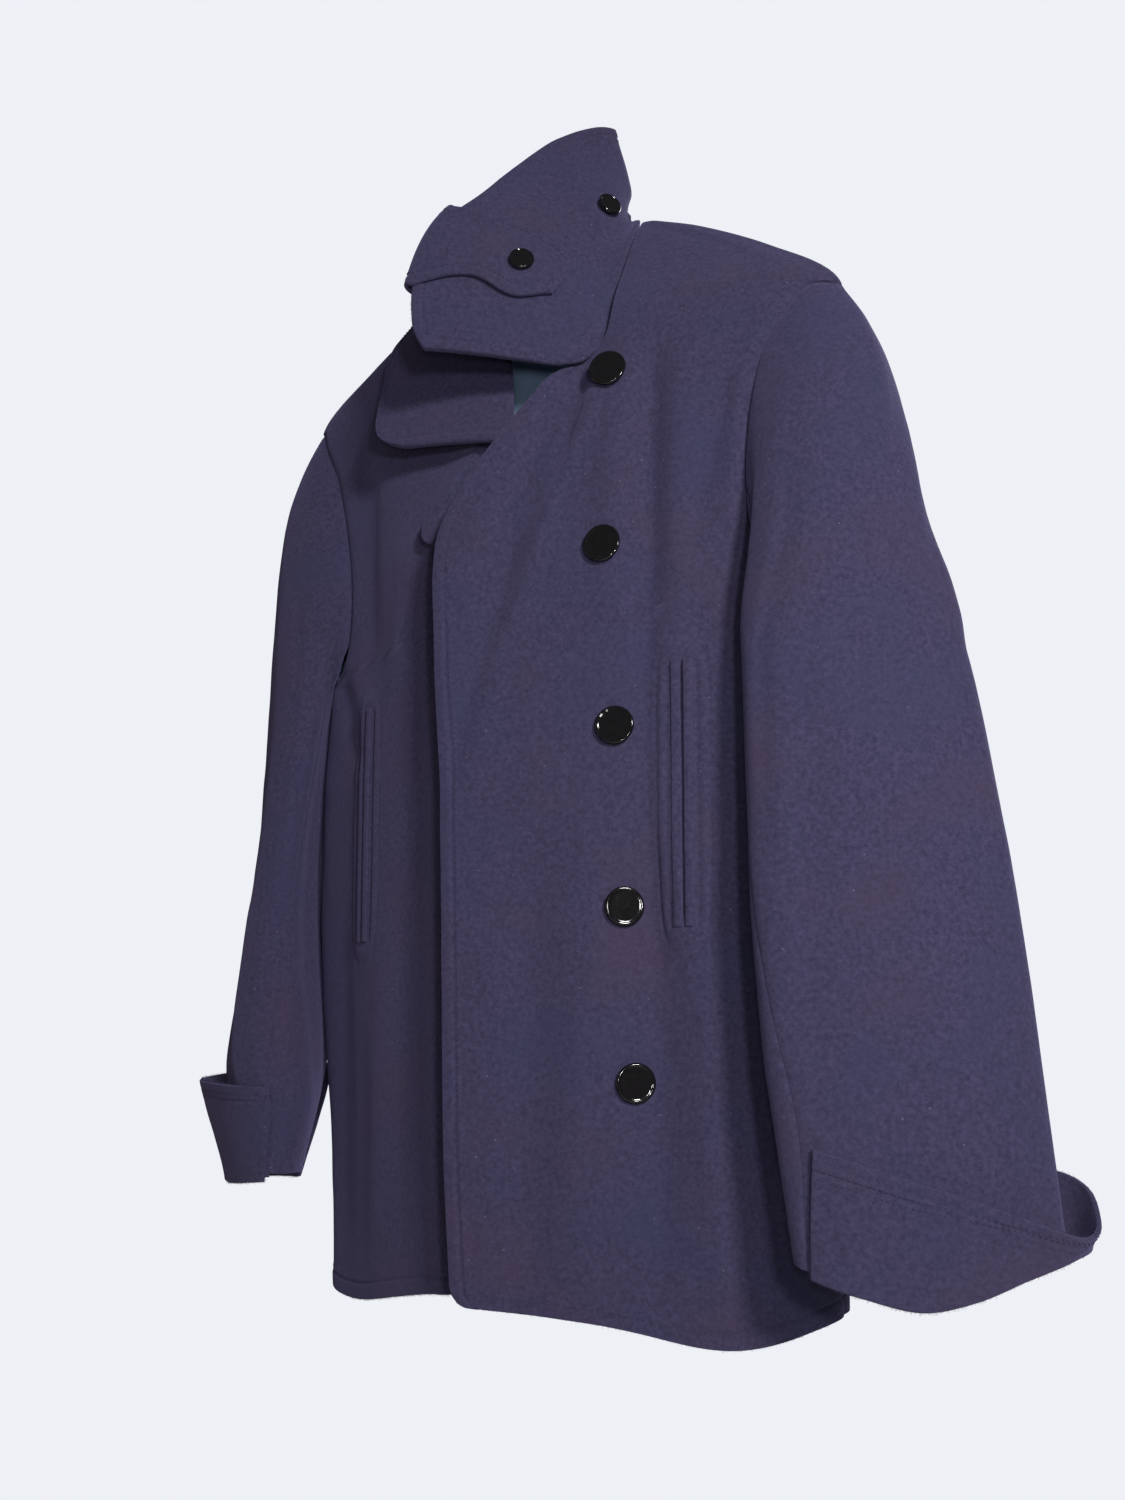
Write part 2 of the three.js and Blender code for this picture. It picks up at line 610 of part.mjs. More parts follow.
// The sleeve end, which is also the fold of the turned back cuff.
const footLeft = [
  { share: -0.1, z: -804 }, { share: 0.05, z: -809 }, { share: 0.15, z: -819 },
  { share: 0.22, z: -826 }, { share: 0.28, z: -821 }, { share: 0.35, z: -810 },
  { share: 0.43, z: -801 }, { share: 0.5, z: -795 }, { share: 0.65, z: -797 },
  { share: 0.8, z: -800 }, { share: 0.9, z: -804 }, { share: 1.05, z: -809 },
];
const footRight = [
  { share: -0.15, z: -777 }, { share: -0.05, z: -778 }, { share: 0.1, z: -781 },
  { share: 0.3, z: -787 }, { share: 0.5, z: -789 }, { share: 0.7, z: -785 },
  { share: 0.85, z: -779 }, { share: 1, z: -777 },
];
function sleeveFoot(table, share) {
  return readTable(table === sleeveLeft ? footLeft : footRight, 'share', share).z;
}

function sleeveRows(table, side, from, to) {
  const columns = Math.round((to(1) - from(1)) * armSteps);
  const levels = [...steps(capRows), ...steps(legRows).slice(1).map((s) => 1 + s)].reverse();
  const surface = (share, v) => sleevePoint(table, side, share, v);
  return (out) => levels.map((v) => {
    const shares = steps(columns).map((s) => mix(from(v), to(v), s));
    if (side > 0) shares.reverse();
    return shares.map((share) => raised(surface, share, v, out * side, 0.004));
  });
}

const sideGap = 0.0012;        // half a seam gap, as a share of the way round a sleeve
for (const [name, table, side] of [['left', sleeveLeft, 1], ['right', sleeveRight, -1]]) {
  const seamAt = (v) => readTable(frontSeam[name], 'v', v).share;
  addWool(`sleeve_top_${name}`,
    sleeveRows(table, side, (v) => seamAt(v) + sideGap, () => backSeam - sideGap));
  addWool(`sleeve_under_${name}`,
    sleeveRows(table, side, () => backSeam + sideGap, (v) => 1 + seamAt(v) - sideGap));
}

// ---------------------------------------------------------------- cuffs

// Turned back cuff, from the front seam round the outer side to its open end behind: the
// height of its free edge, and how far the cuff's outer face stands off the sleeve's at
// that edge and at the fold.
const cuffLeft = [
  { share: 0.06, top: -735, lean: 3.4, low: 3.3 }, { share: 0.16, top: -747, lean: 5, low: 3.3 },
  { share: 0.26, top: -763, lean: 9, low: 3.5 }, { share: 0.36, top: -780, lean: 13, low: 4 },
  { share: 0.44, top: -790, lean: 17, low: 8 }, { share: 0.48, top: -784, lean: 20, low: 13 },
  { share: 0.51, top: -766, lean: 22, low: 16 }, { share: 0.55, top: -757, lean: 22, low: 16 },
  { share: 0.64, top: -753, lean: 13, low: 8 }, { share: 0.8, top: -750, lean: 6, low: 4 },
];
const cuffRight = [
  { share: -0.08, top: -714, lean: 3.4, low: 3.3 }, { share: 0.1, top: -712, lean: 5, low: 3.3 },
  { share: 0.2, top: -711, lean: 10, low: 3.3 }, { share: 0.3, top: -710, lean: 24, low: 4 },
  { share: 0.38, top: -708, lean: 33, low: 6 }, { share: 0.44, top: -704, lean: 28, low: 6 },
  { share: 0.5, top: -697, lean: 17, low: 5 }, { share: 0.6, top: -695, lean: 5.4, low: 4 },
  { share: 0.75, top: -698, lean: 5, low: 4 },
];
const cuffColumns = 26;
const cuffRowsUp = 3;

function sleeveSide(table, side, share, z) {
  const step = 0.004;
  const a = ringPoint(table, side, share - step, z);
  const b = ringPoint(table, side, share + step, z);
  const along = b.sub(a);
  return new THREE.Vector3(along.y, -along.x, 0).normalize().multiplyScalar(side);
}

// The cuff starts beside the front seam, which leans, so its first share differs between
// the fold and the free edge.
const cuffStart = { left: { fold: 0.068, edge: 0.11 }, right: { fold: 0.035, edge: 0.012 } };

function cuffRows(table, foot, cuff, side) {
  const { fold: lowStart, edge: highStart } = cuffStart[side > 0 ? 'left' : 'right'];
  const last = cuff[cuff.length - 1].share;
  const surface = (share, v) => {
    const { top, lean, low: foldOver } = readTable(cuff, 'share', share);
    const fold = readTable(foot, 'share', share).z - 3;
    const z = mix(fold, top, v);
    const over = mix(foldOver, lean, Math.max(v, 0) ** 1.3);
    return ringPoint(table, side, share, z).addScaledVector(sleeveSide(table, side, share, z), over);
  };
  return (out) => steps(cuffRowsUp).map((v) => {
    const first = mix(lowStart, highStart, v);
    const shares = steps(cuffColumns).map((s) => mix(first, last, s));
    if (side > 0) shares.reverse();
    return shares.map((share) => raised(surface, share, v, -out * side, 0.004));
  });
}
addWool('cuff_left', cuffRows(sleeveLeft, footLeft, cuffLeft, 1));
addWool('cuff_right', cuffRows(sleeveRight, footRight, cuffRight, -1));

// ---------------------------------------------------------------- buttons

// A domed button with a raised rim, turned round its own axis.
function buttonShape(size) {
  const r = size / 2;
  const profile = [
    [0, 0], [r * 0.8, 0], [r * 0.97, 1], [r, 2], [r * 0.96, 3], [r * 0.84, 3.1],
    [r * 0.74, 2.7], [r * 0.4, 3.3], [0, 3.6],
  ];
  const points = profile.map(([x, y]) => new THREE.Vector2(x, y));
  const geometry = new THREE.LatheGeometry(points, 18);
  geometry.deleteAttribute('normal');
  geometry.deleteAttribute('uv');
  return mergeVertices(geometry);
}

function addButton(name, size, point, out, over) {
  const button = addPiece(name, buttonShape(size), finish(buttonColour, 0.12, 0));
  button.position.copy(point).addScaledVector(out, over);
  button.quaternion.setFromUnitVectors(new THREE.Vector3(0, 1, 0), out);
}

const frontButtons = [
  { x: 70, z: -217 }, { x: 69, z: -345 }, { x: 76, z: -471 }, { x: 81, z: -592 }, { x: 87, z: -706 },
];
frontButtons.forEach(({ x, z }, i) => {
  const u = frontColumn(x, z);
  addButton(`button_${i + 1}`, buttonSize, bodyPoint(u, z), bodyNormal(u, z), 1.6);
});
for (const { name, u, v, over } of [
  { name: 'button_latch', u: 4.78, v: 0.52, over: latchOver + 1 },
  { name: 'button_collar', u: 2, v: 0.3, over: 1.2 },
]) {
  addButton(name, smallButton, ribPoint(standingRibs, u, v), wingNormal(u, v), over);
}

// ---------------------------------------------------------------- hook and loop

const plateWide = 24;
const plateHigh = 52;
const plateThick = 3;
const screwAt = 18;
const screwHole = 4.4;
const armWide = 7;
const armLow = -13.5;
const armTop = -9;
const armReach = 19;
const tipTop = 6;

function plateShape() {
  const outline = new THREE.Shape();
  const w = plateWide / 2;
  const h = plateHigh / 2;
  const r = 6;
  outline.moveTo(-w + r, -h);
  outline.lineTo(w - r, -h);
  outline.absarc(w - r, -h + r, r, -Math.PI / 2, 0);
  outline.lineTo(w, h - r);
  outline.absarc(w - r, h - r, r, 0, Math.PI / 2);
  outline.lineTo(-w + r, h);
  outline.absarc(-w + r, h - r, r, Math.PI / 2, Math.PI);
  outline.lineTo(-w, -h + r);
  outline.absarc(-w + r, -h + r, r, Math.PI, Math.PI * 1.5);
  for (const y of [-screwAt, screwAt]) {
    const hole = new THREE.Path();
    hole.absarc(0, y, screwHole / 2, 0, Math.PI * 2, true);
    outline.holes.push(hole);
  }
  const geometry = new THREE.ExtrudeGeometry(outline,
    { depth: plateThick, bevelEnabled: false, curveSegments: 6 });
  return geometry.rotateX(Math.PI / 2);
}
const steel = () => finish(steelColour, 0.35, 0.9);
addPiece('hook_plate', plateShape(), steel());

// The arm: a flat bar that reaches out and turns up, drawn from the side.
function armShape() {
  const bar = armTop - armLow;
  const start = plateThick + 0.3;
  const outline = new THREE.Shape();
  outline.moveTo(start, armLow);
  outline.lineTo(armReach - bar, armLow);
  outline.absarc(armReach - bar, armTop, bar, -Math.PI / 2, 0);
  outline.lineTo(armReach, tipTop);
  outline.absarc(armReach - 1.7, tipTop, 1.7, 0, Math.PI);
  outline.lineTo(armReach - 3.4, armTop);
  outline.lineTo(start, armTop);
  const geometry = new THREE.ExtrudeGeometry(outline,
    { depth: armWide, bevelEnabled: false, curveSegments: 5 });
  const turn = new THREE.Matrix4().makeBasis(
    new THREE.Vector3(0, -1, 0), new THREE.Vector3(0, 0, 1), new THREE.Vector3(-1, 0, 0));
  return geometry.applyMatrix4(turn).translate(armWide / 2, 0, 0);
}
addPiece('hook_arm', armShape(), steel());

function screwShape() {
  const shank = screwHole / 2 - 0.3;
  const profile = [
    [0, -0.4], [shank, -0.4], [shank, -plateThick - 0.3], [4.2, -plateThick - 0.3],
    [3.4, -plateThick - 1.6], [0, -plateThick - 2.1],
  ];
  const geometry = new THREE.LatheGeometry(profile.map(([x, y]) => new THREE.Vector2(x, y)), 14);
  geometry.deleteAttribute('normal');
  geometry.deleteAttribute('uv');
  const shape = mergeVertices(geometry);
  shape.setIndex(Array.from(shape.index.array).reverse());
  return shape;
}
for (const [name, z] of [['hook_screw_upper', screwAt], ['hook_screw_lower', -screwAt]]) {
  addPiece(name, screwShape(), steel()).position.z = z;
}

// Hanging loop: a narrow band from the nape over the arm and back.
const loopHalf = 0.9;
const loopPath = new THREE.CatmullRomCurve3([
  new THREE.Vector3(-17, -23.6, -50), new THREE.Vector3(-12, -18, -33),
  new THREE.Vector3(-8.5, -11.5, -16), new THREE.Vector3(-5.6, -10.5, -9.2),
  new THREE.Vector3(0, -10.5, -7.4), new THREE.Vector3(5.6, -10.5, -9.2),
  new THREE.Vector3(8.5, -11.5, -16), new THREE.Vector3(12, -18, -33),
  new THREE.Vector3(17, -23.6, -50),
]);
function loopRows(out) {
  return [-1, 1].map((side) => steps(22).map((s) => {
    const point = loopPath.getPoint(s);
    const along = loopPath.getTangent(s);
    const across = new THREE.Vector3(0, 1, 0).cross(along).cross(along).normalize();
    const up = across.clone().cross(along).normalize();
    return point.addScaledVector(across, side * 2.6).addScaledVector(up, out);
  }));
}
addPiece('hanging_loop', clothWall(loopRows(loopHalf), loopRows(-loopHalf)),
  finish(woolColour, 0.9, 0));

export default coat;
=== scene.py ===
import math

import bpy
import numpy as np
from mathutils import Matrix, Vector


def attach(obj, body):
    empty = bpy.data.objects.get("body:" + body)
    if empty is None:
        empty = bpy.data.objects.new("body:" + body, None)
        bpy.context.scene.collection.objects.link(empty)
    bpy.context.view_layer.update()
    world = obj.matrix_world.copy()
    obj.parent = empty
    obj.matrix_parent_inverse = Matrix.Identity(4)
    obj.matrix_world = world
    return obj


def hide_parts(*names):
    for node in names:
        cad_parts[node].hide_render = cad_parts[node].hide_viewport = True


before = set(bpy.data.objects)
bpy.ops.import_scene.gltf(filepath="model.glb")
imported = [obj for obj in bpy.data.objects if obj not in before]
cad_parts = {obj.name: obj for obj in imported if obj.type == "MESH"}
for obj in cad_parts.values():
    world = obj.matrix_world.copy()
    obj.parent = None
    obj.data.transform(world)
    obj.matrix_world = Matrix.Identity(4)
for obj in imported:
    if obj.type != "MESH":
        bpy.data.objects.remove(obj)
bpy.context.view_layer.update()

# Camera, lights and the pale room
view = {
    "place": (0.4685, -0.8695, -0.6817),  # metres, in front of the coat and below its middle
    "turn": 30,  # degrees to the left of straight at the wall
    "tilt": 7,  # degrees upwards
    "lens": 31.2,
    "shift": 0.0903,
}
light = {
    "keyPower": 27, "keyPlace": (1.35, -1.15, 0.02), "keySize": 0.24, "keyColour": (1, 0.97, 0.95),
    "flashPower": 4.6, "flashPlace": (0.72, -0.98, -0.50), "flashSize": 0.09, "flashColour": (1, 1, 1),
    "eyePower": 1.2, "eyePlace": (0.49, -0.90, -0.64), "eyeSize": 0.05, "eyeColour": (1, 1, 1),
    "bouncePower": 1.5, "bouncePlace": (-1.25, -0.55, -0.55), "bounceSize": 0.9,
    "bounceColour": (1, 0.55, 0.42),
    "backPower": 26, "backPlace": (0.3, 1.8, 0.7), "backSize": 1.4, "backColour": (1, 1, 1),
    "aim": (0, -0.08, -0.42), "world": (0.93, 0.95, 1.0), "worldPower": 0.09, "paper": 0.92,
}
floorLook = {"height": -1.6, "radius": 1.6, "middleY": -0.3, "corners": 96,
             "colour": (0.82, 0.81, 0.79), "roughness": 0.9}

camera = bpy.data.objects.new("camera", bpy.data.cameras.new("camera"))
camera.data.lens = view["lens"]
camera.data.shift_y = view["shift"]
camera.data.clip_start = 0.05
camera.location = view["place"]
camera.rotation_euler = (math.radians(90 + view["tilt"]), 0, math.radians(view["turn"]))
bpy.context.scene.collection.objects.link(camera)
bpy.context.scene.camera = camera


def areaLight(name, power, place, size, colour):
    lamp = bpy.data.lights.new(name, "AREA")
    lamp.energy, lamp.size, lamp.color = power, size, colour
    lampObject = bpy.data.objects.new(name, lamp)
    lampObject.location = place
    toward = Vector(light["aim"]) - Vector(place)
    lampObject.rotation_euler = toward.to_track_quat("-Z", "Y").to_euler()
    bpy.context.scene.collection.objects.link(lampObject)


for lampName in ("key", "flash", "eye", "bounce", "back"):
    areaLight(lampName, *[light[lampName + word] for word in ("Power", "Place", "Size", "Colour")])

world = bpy.data.worlds.new("paleRoom")
bpy.context.scene.world = world
world.use_nodes = True
roomNodes, roomLinks = world.node_tree.nodes, world.node_tree.links
roomNodes["Background"].inputs["Color"].default_value = (*light["world"], 1)
roomNodes["Background"].inputs["Strength"].default_value = light["worldPower"]
paper = roomNodes.new("ShaderNodeBackground")  # the pale sheet behind, only where it is looked at
paper.inputs["Color"].default_value = (*light["world"], 1)
paper.inputs["Strength"].default_value = light["paper"]
rays, roomMix = roomNodes.new("ShaderNodeLightPath"), roomNodes.new("ShaderNodeMixShader")
roomLinks.new(rays.outputs["Is Camera Ray"], roomMix.inputs[0])
roomLinks.new(roomNodes["Background"].outputs[0], roomMix.inputs[1])
roomLinks.new(paper.outputs[0], roomMix.inputs[2])
roomLinks.new(roomMix.outputs[0], roomNodes["World Output"].inputs["Surface"])
bpy.context.scene.view_settings.view_transform = "Standard"
print("camera and lights are placed")


# Curves and tables
def mix(a, b, s):
    return a + (b - a) * s


def ease(a, b, at):  # 0 at a, 1 at b, level at both
    s = np.clip((at - a) / (b - a), 0, 1)
    return s * s * (3 - 2 * s)


def hump(at, middle, width):  # bell curve, 1 at the middle
    return np.exp(-(((at - middle) / width) ** 2))


def rowsOf(names, *rows):  # a table: each row's values under their names
    return [dict(zip(names.split(), row)) for row in rows]


def readTable(rows, at, key="z"):
    # a cubic between two rows; its slope at a row is that of the line between the row's neighbours
    knots = np.array([row[key] for row in rows], float)
    at = np.asarray(at, float)
    k = np.clip(np.searchsorted(knots, at, side="left") - 1, 0, len(rows) - 2)
    before, after = np.maximum(k - 1, 0), np.minimum(k + 2, len(rows) - 1)
    span = knots[k + 1] - knots[k]
    s = (at - knots[k]) / span
    s2, s3 = s * s, s * s * s
    found = {}
    for name in rows[0]:
        c = np.array([row[name] for row in rows], float)
        slopeA = (c[k + 1] - c[before]) / (knots[k + 1] - knots[before]) * span
        slopeB = (c[after] - c[k]) / (knots[after] - knots[k]) * span
        found[name] = ((2 * s3 - 3 * s2 + 1) * c[k] + (s3 - 2 * s2 + s) * slopeA
                       + (3 * s2 - 2 * s3) * c[k + 1] + (s3 - s2) * slopeB)
    return found


def softNoise(a, b, cellA, cellB, seed):
    # random heights from -1 to 1 on a lattice of cells, joined by smooth steps
    a, b = np.asarray(a) / cellA + 1000.5, np.asarray(b) / cellB + 1000.5
    heights = np.random.default_rng(seed).uniform(-1, 1, (256, 256))
    i, j = np.floor(a).astype(int), np.floor(b).astype(int)
    s, t = a - i, b - j
    s, t = s * s * s * (s * (6 * s - 15) + 10), t * t * t * (t * (6 * t - 15) + 10)
    low = mix(heights[i % 256, j % 256], heights[(i + 1) % 256, j % 256], s)
    high = mix(heights[i % 256, (j + 1) % 256], heights[(i + 1) % 256, (j + 1) % 256], s)
    return mix(low, high, t)


# Cloth pieces as grids
# A grid is an array [row, column, xyz] in millimetres: rows run up, and columns run from the
# wearer's left round the front to the right, so that "up cross along" points out of the cloth.
def unit(v):
    return v / np.maximum(np.linalg.norm(v, axis=-1, keepdims=True), 1e-9)


def gridNormals(grid):
    return unit(np.cross(np.gradient(grid, axis=0), np.gradient(grid, axis=1)))


def lengths(grid, axis):  # how far each point is along its row (axis 1) or column (axis 0)
    step = np.linalg.norm(np.diff(grid, axis=axis), axis=-1)
    start = np.zeros_like(np.take(step, [0], axis=axis))
    return np.concatenate([start, np.cumsum(step, axis=axis)], axis=axis)


def edgeDistances(grid):
    along, up = lengths(grid, 1), lengths(grid, 0)
    return {"start": along, "end": along[:, -1:] - along, "low": up, "top": up[-1:] - up}


def nearest(d, *sides):  # distance from the nearest of the named sides
    return np.minimum.reduce([d[side] for side in sides])


# Places of grid lines from an edge inwards, in millimetres: close together where the cloth
# rolls over and is sewn
edgeSteps = {
    "sewn": [0, .12, .4, .8, 1.4, 2.2, 3.2, 4.4, 5.6, 6.8, 7.7, 8.4, 9.1, 9.8, 10.6, 11.6, 13, 15, 18, 22],
    "seam": [0, .12, .4, .8, 1.4, 2.2, 3.4, 5.2, 8, 12],
    "hem": [0, .12, .4, .8, 1.4, 2.4, 3.6, 5, 6.6, 8.4, 10, 11, 11.7, 12.4, 13.2, 14.4, 16, 18.5, 22],
}


def gridLines(total, first, last, middle):
    # lines across a stretch of cloth, as shares of it: the steps of its two edges, and even
    # gaps of about "middle" between them
    a, b = np.array(edgeSteps[first]), total - np.array(edgeSteps[last])[::-1]
    count = max(int(round((b[0] - a[-1]) / middle)), 2)
    return np.concatenate([a, np.linspace(a[-1], b[0], count + 1)[1:-1], b]) / total


def roundedEdge(distance, radius):
    # a quarter circle: how far the face has sunk in at some distance from the edge
    d = np.clip(distance, 0, radius)
    return radius - np.sqrt(np.maximum(radius ** 2 - (radius - d) ** 2, 0))


def sewnBand(distance, stitchAt, puff, groove):
    # a raised band along an edge that ends in the groove of its stitch line
    band = puff * ease(stitchAt + 6, stitchAt - 1.5, distance)
    return band - groove * hump(distance, stitchAt, 1.3)


def seamDip(distance, width=2.6, deep=0.6):  # the cloth sinks in towards its seam
    return deep * hump(distance, 0, width)


def placePiece(name, vertices, faces, materials, faceMaterial=None, uv=None):
    mesh = bpy.data.meshes.new(name)
    mesh.from_pydata((vertices / 1000).tolist(), [], faces)
    for material in materials:
        mesh.materials.append(material)
    if faceMaterial is not None:
        mesh.polygons.foreach_set("material_index", faceMaterial.astype(np.int32))
    mesh.polygons.foreach_set("use_smooth", np.full(len(mesh.polygons), True))
    if uv is not None:
        corner = np.zeros(len(mesh.loops), np.int32)
        mesh.loops.foreach_get("vertex_index", corner)
        layer = mesh.uv_layers.new(name="cloth")
        layer.data.foreach_set("uv", (uv[corner] / 1000).astype(np.float32).ravel())
    mesh.update()
    piece = bpy.data.objects.new(name, mesh)
    bpy.context.scene.collection.objects.link(piece)
    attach(piece, "root")
    return piece


def tubeQuads(rings, sides):  # faces between the rings of a tube whose points are counted ring by ring
    index = np.arange(rings * sides).reshape(rings, sides)
    index = np.concatenate([index, index[:, :1]], 1)
    return np.stack([index[:-1, :-1], index[:-1, 1:], index[1:, 1:], index[1:, :-1]], -1).reshape(-1, 4)


def readLine(at, far, values):  # values along a line, read at some distances from its start
    return np.stack([np.interp(at, far, values[:, k]) for k in range(3)], -1)


joinedRoll = 0.3  # how much of the rolled edge is left where a piece is joined to another


def clothPiece(name, grid, settings, relief=0, innerRelief=0, materials=None, innerWool=None,
               normals=None):
    # outer face: the grid moved along its normals by the relief; inner face: the grid moved
    # in by the thickness; both roll over with a quarter circle and meet at the piece's edges.
    # An edge joined to another piece rolls over less and runs on a little under its neighbour
    normals = gridNormals(grid) if normals is None else normals
    d = edgeDistances(grid)
    thick, joined = settings["thick"], settings.get("joined", {})
    sink = np.maximum.reduce([roundedEdge(d[side], thick / 2) * (joinedRoll if side in joined else 1)
                              for side in d])
    outer = grid + normals * (relief - sink)[..., None]
    innerRelief = np.minimum(innerRelief, relief + thick / 2)  # at least half the thickness is kept
    inner = grid + normals * (innerRelief - thick + sink)[..., None]
    rows, columns = sink.shape
    outerIndex = np.arange(rows * columns).reshape(rows, columns)
    innerIndex = outerIndex.copy()
    innerPoints = np.arange((rows - 2) * (columns - 2)).reshape(rows - 2, -1)
    innerIndex[1:-1, 1:-1] = rows * columns + innerPoints
    border = np.ones((rows, columns), bool)
    border[1:-1, 1:-1] = False
    outer[border] = ((outer + inner) / 2)[border]
    ends = {"start": (0, (slice(None), 1)), "end": (-1, (slice(None), -2)), "low": (0, 1), "top": (-1, -2)}
    for side, overlap in joined.items():
        last, before = ends[side]
        at = (slice(None), last) if side in ("start", "end") else last
        outer[at] += unit(grid[at] - grid[before]) * overlap
    vertices = np.concatenate([outer.reshape(-1, 3), inner[1:-1, 1:-1].reshape(-1, 3)])

    def quads(index, flip):
        a, b, c, e = index[:-1, :-1], index[1:, :-1], index[1:, 1:], index[:-1, 1:]
        return np.stack([a, e, c, b] if flip else [a, b, c, e], -1).reshape(-1, 4)

    faces = np.concatenate([quads(outerIndex, False), quads(innerIndex, True)])
    half = len(faces) // 2
    faceMaterial = np.zeros(len(faces), np.int32)
    if innerWool is not None:
        faceMaterial[half:] = ~innerWool[:-1, :-1].reshape(-1)
    flatPlace = np.stack([d["start"], d["low"]], -1).reshape(-1, 2)
    uv = np.concatenate([flatPlace, flatPlace.reshape(rows, columns, 2)[1:-1, 1:-1].reshape(-1, 2)])
    piece = placePiece(name, vertices, faces.tolist(), materials or [wool], faceMaterial, uv)
    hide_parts(*settings["replaces"])
    return {"outer": outer, "normals": normals}


# Materials
woolLook = {
    "deep": (0.0210, 0.0190, 0.0470), "light": (0.0435, 0.0385, 0.0850),
    "warm": (0.0450, 0.0290, 0.0570), "cool": (0.0270, 0.0300, 0.0690),
    "lint": (0.200, 0.190, 0.260), "lintSize": 75,
    "roughness": 0.95, "sheen": 0.22, "sheenRoughness": 0.5, "sheenTint": (0.42, 0.38, 0.80, 1),
    "napSize": 1400, "mottleSize": 330, "patchSize": 14,
}
liningLook = {"colour": (0.105, 0.190, 0.290), "roughness": 0.34}
# the neck's lining: the same lining colour made about three times brighter, painted light standing in for
# the light that falls inside the neck
neckPaintedLightLook = {"colour": (0.36, 0.52, 0.78), "roughness": 0.34}
buttonLook = {"colour": (0.0030, 0.0026, 0.0030), "roughness": 0.07}
steelLook = {"colour": (0.42, 0.43, 0.45), "roughness": 0.34}


def newMaterial(name):
    material = bpy.data.materials.new(name)
    material.use_nodes = True
    nodes = material.node_tree.nodes
    return material, nodes, material.node_tree.links, nodes["Principled BSDF"]


def addNode(nodes, kind, **values):
    node = nodes.new(kind)
    for name, value in values.items():
        if name in node.inputs:
            node.inputs[name].default_value = value
        else:
            setattr(node, name, value)
    return node


def shaded(colour, shade=1.0):  # a colour made darker or lighter, with full cover
    return (*[c * shade for c in colour], 1)


def addRamp(nodes, source, links, low, high, places=(0, 1)):  # two colours between two places
    ramp = addNode(nodes, "ShaderNodeValToRGB")
    first, second = ramp.color_ramp.elements[0], ramp.color_ramp.elements[1]
    first.position, second.position = places
    first.color, second.color = low, high
    links.new(source, ramp.inputs["Fac"])
    return ramp.outputs["Color"]


def addBump(nodes, source, links, strength, distance, under=None):
    bump = addNode(nodes, "ShaderNodeBump", Strength=strength, Distance=distance)
    links.new(source, bump.inputs["Height"])
    if under is not None:
        links.new(under, bump.inputs["Normal"])
    return bump.outputs["Normal"]


rangeSockets = {"fromMin": "From Min", "fromMax": "From Max", "toMin": "To Min", "toMax": "To Max"}


def addRange(nodes, source, links, **limits):  # brings a value from one range to another
    node = addNode(nodes, "ShaderNodeMapRange")
    for name, value in limits.items():
        node.inputs[rangeSockets[name]].default_value = value
    links.new(source, node.inputs["Value"])
    return node.outputs["Result"]


def addMix(nodes, links, factor, below, colour):  # lays a colour over what is below it
    node = addNode(nodes, "ShaderNodeMix", data_type="RGBA")
    node.inputs["B"].default_value = colour
    links.new(factor, node.inputs["Factor"])
    links.new(below, node.inputs["A"])
    return node.outputs["Result"]


def addTurned(nodes, place, links, texture, degrees):  # lays a texture on the cloth's UV at an angle
    turned = addNode(nodes, "ShaderNodeMapping")
    turned.inputs["Rotation"].default_value = (0, 0, math.radians(degrees))
    links.new(place.outputs["UV"], turned.inputs["Vector"])
    links.new(turned.outputs["Vector"], texture.inputs["Vector"])


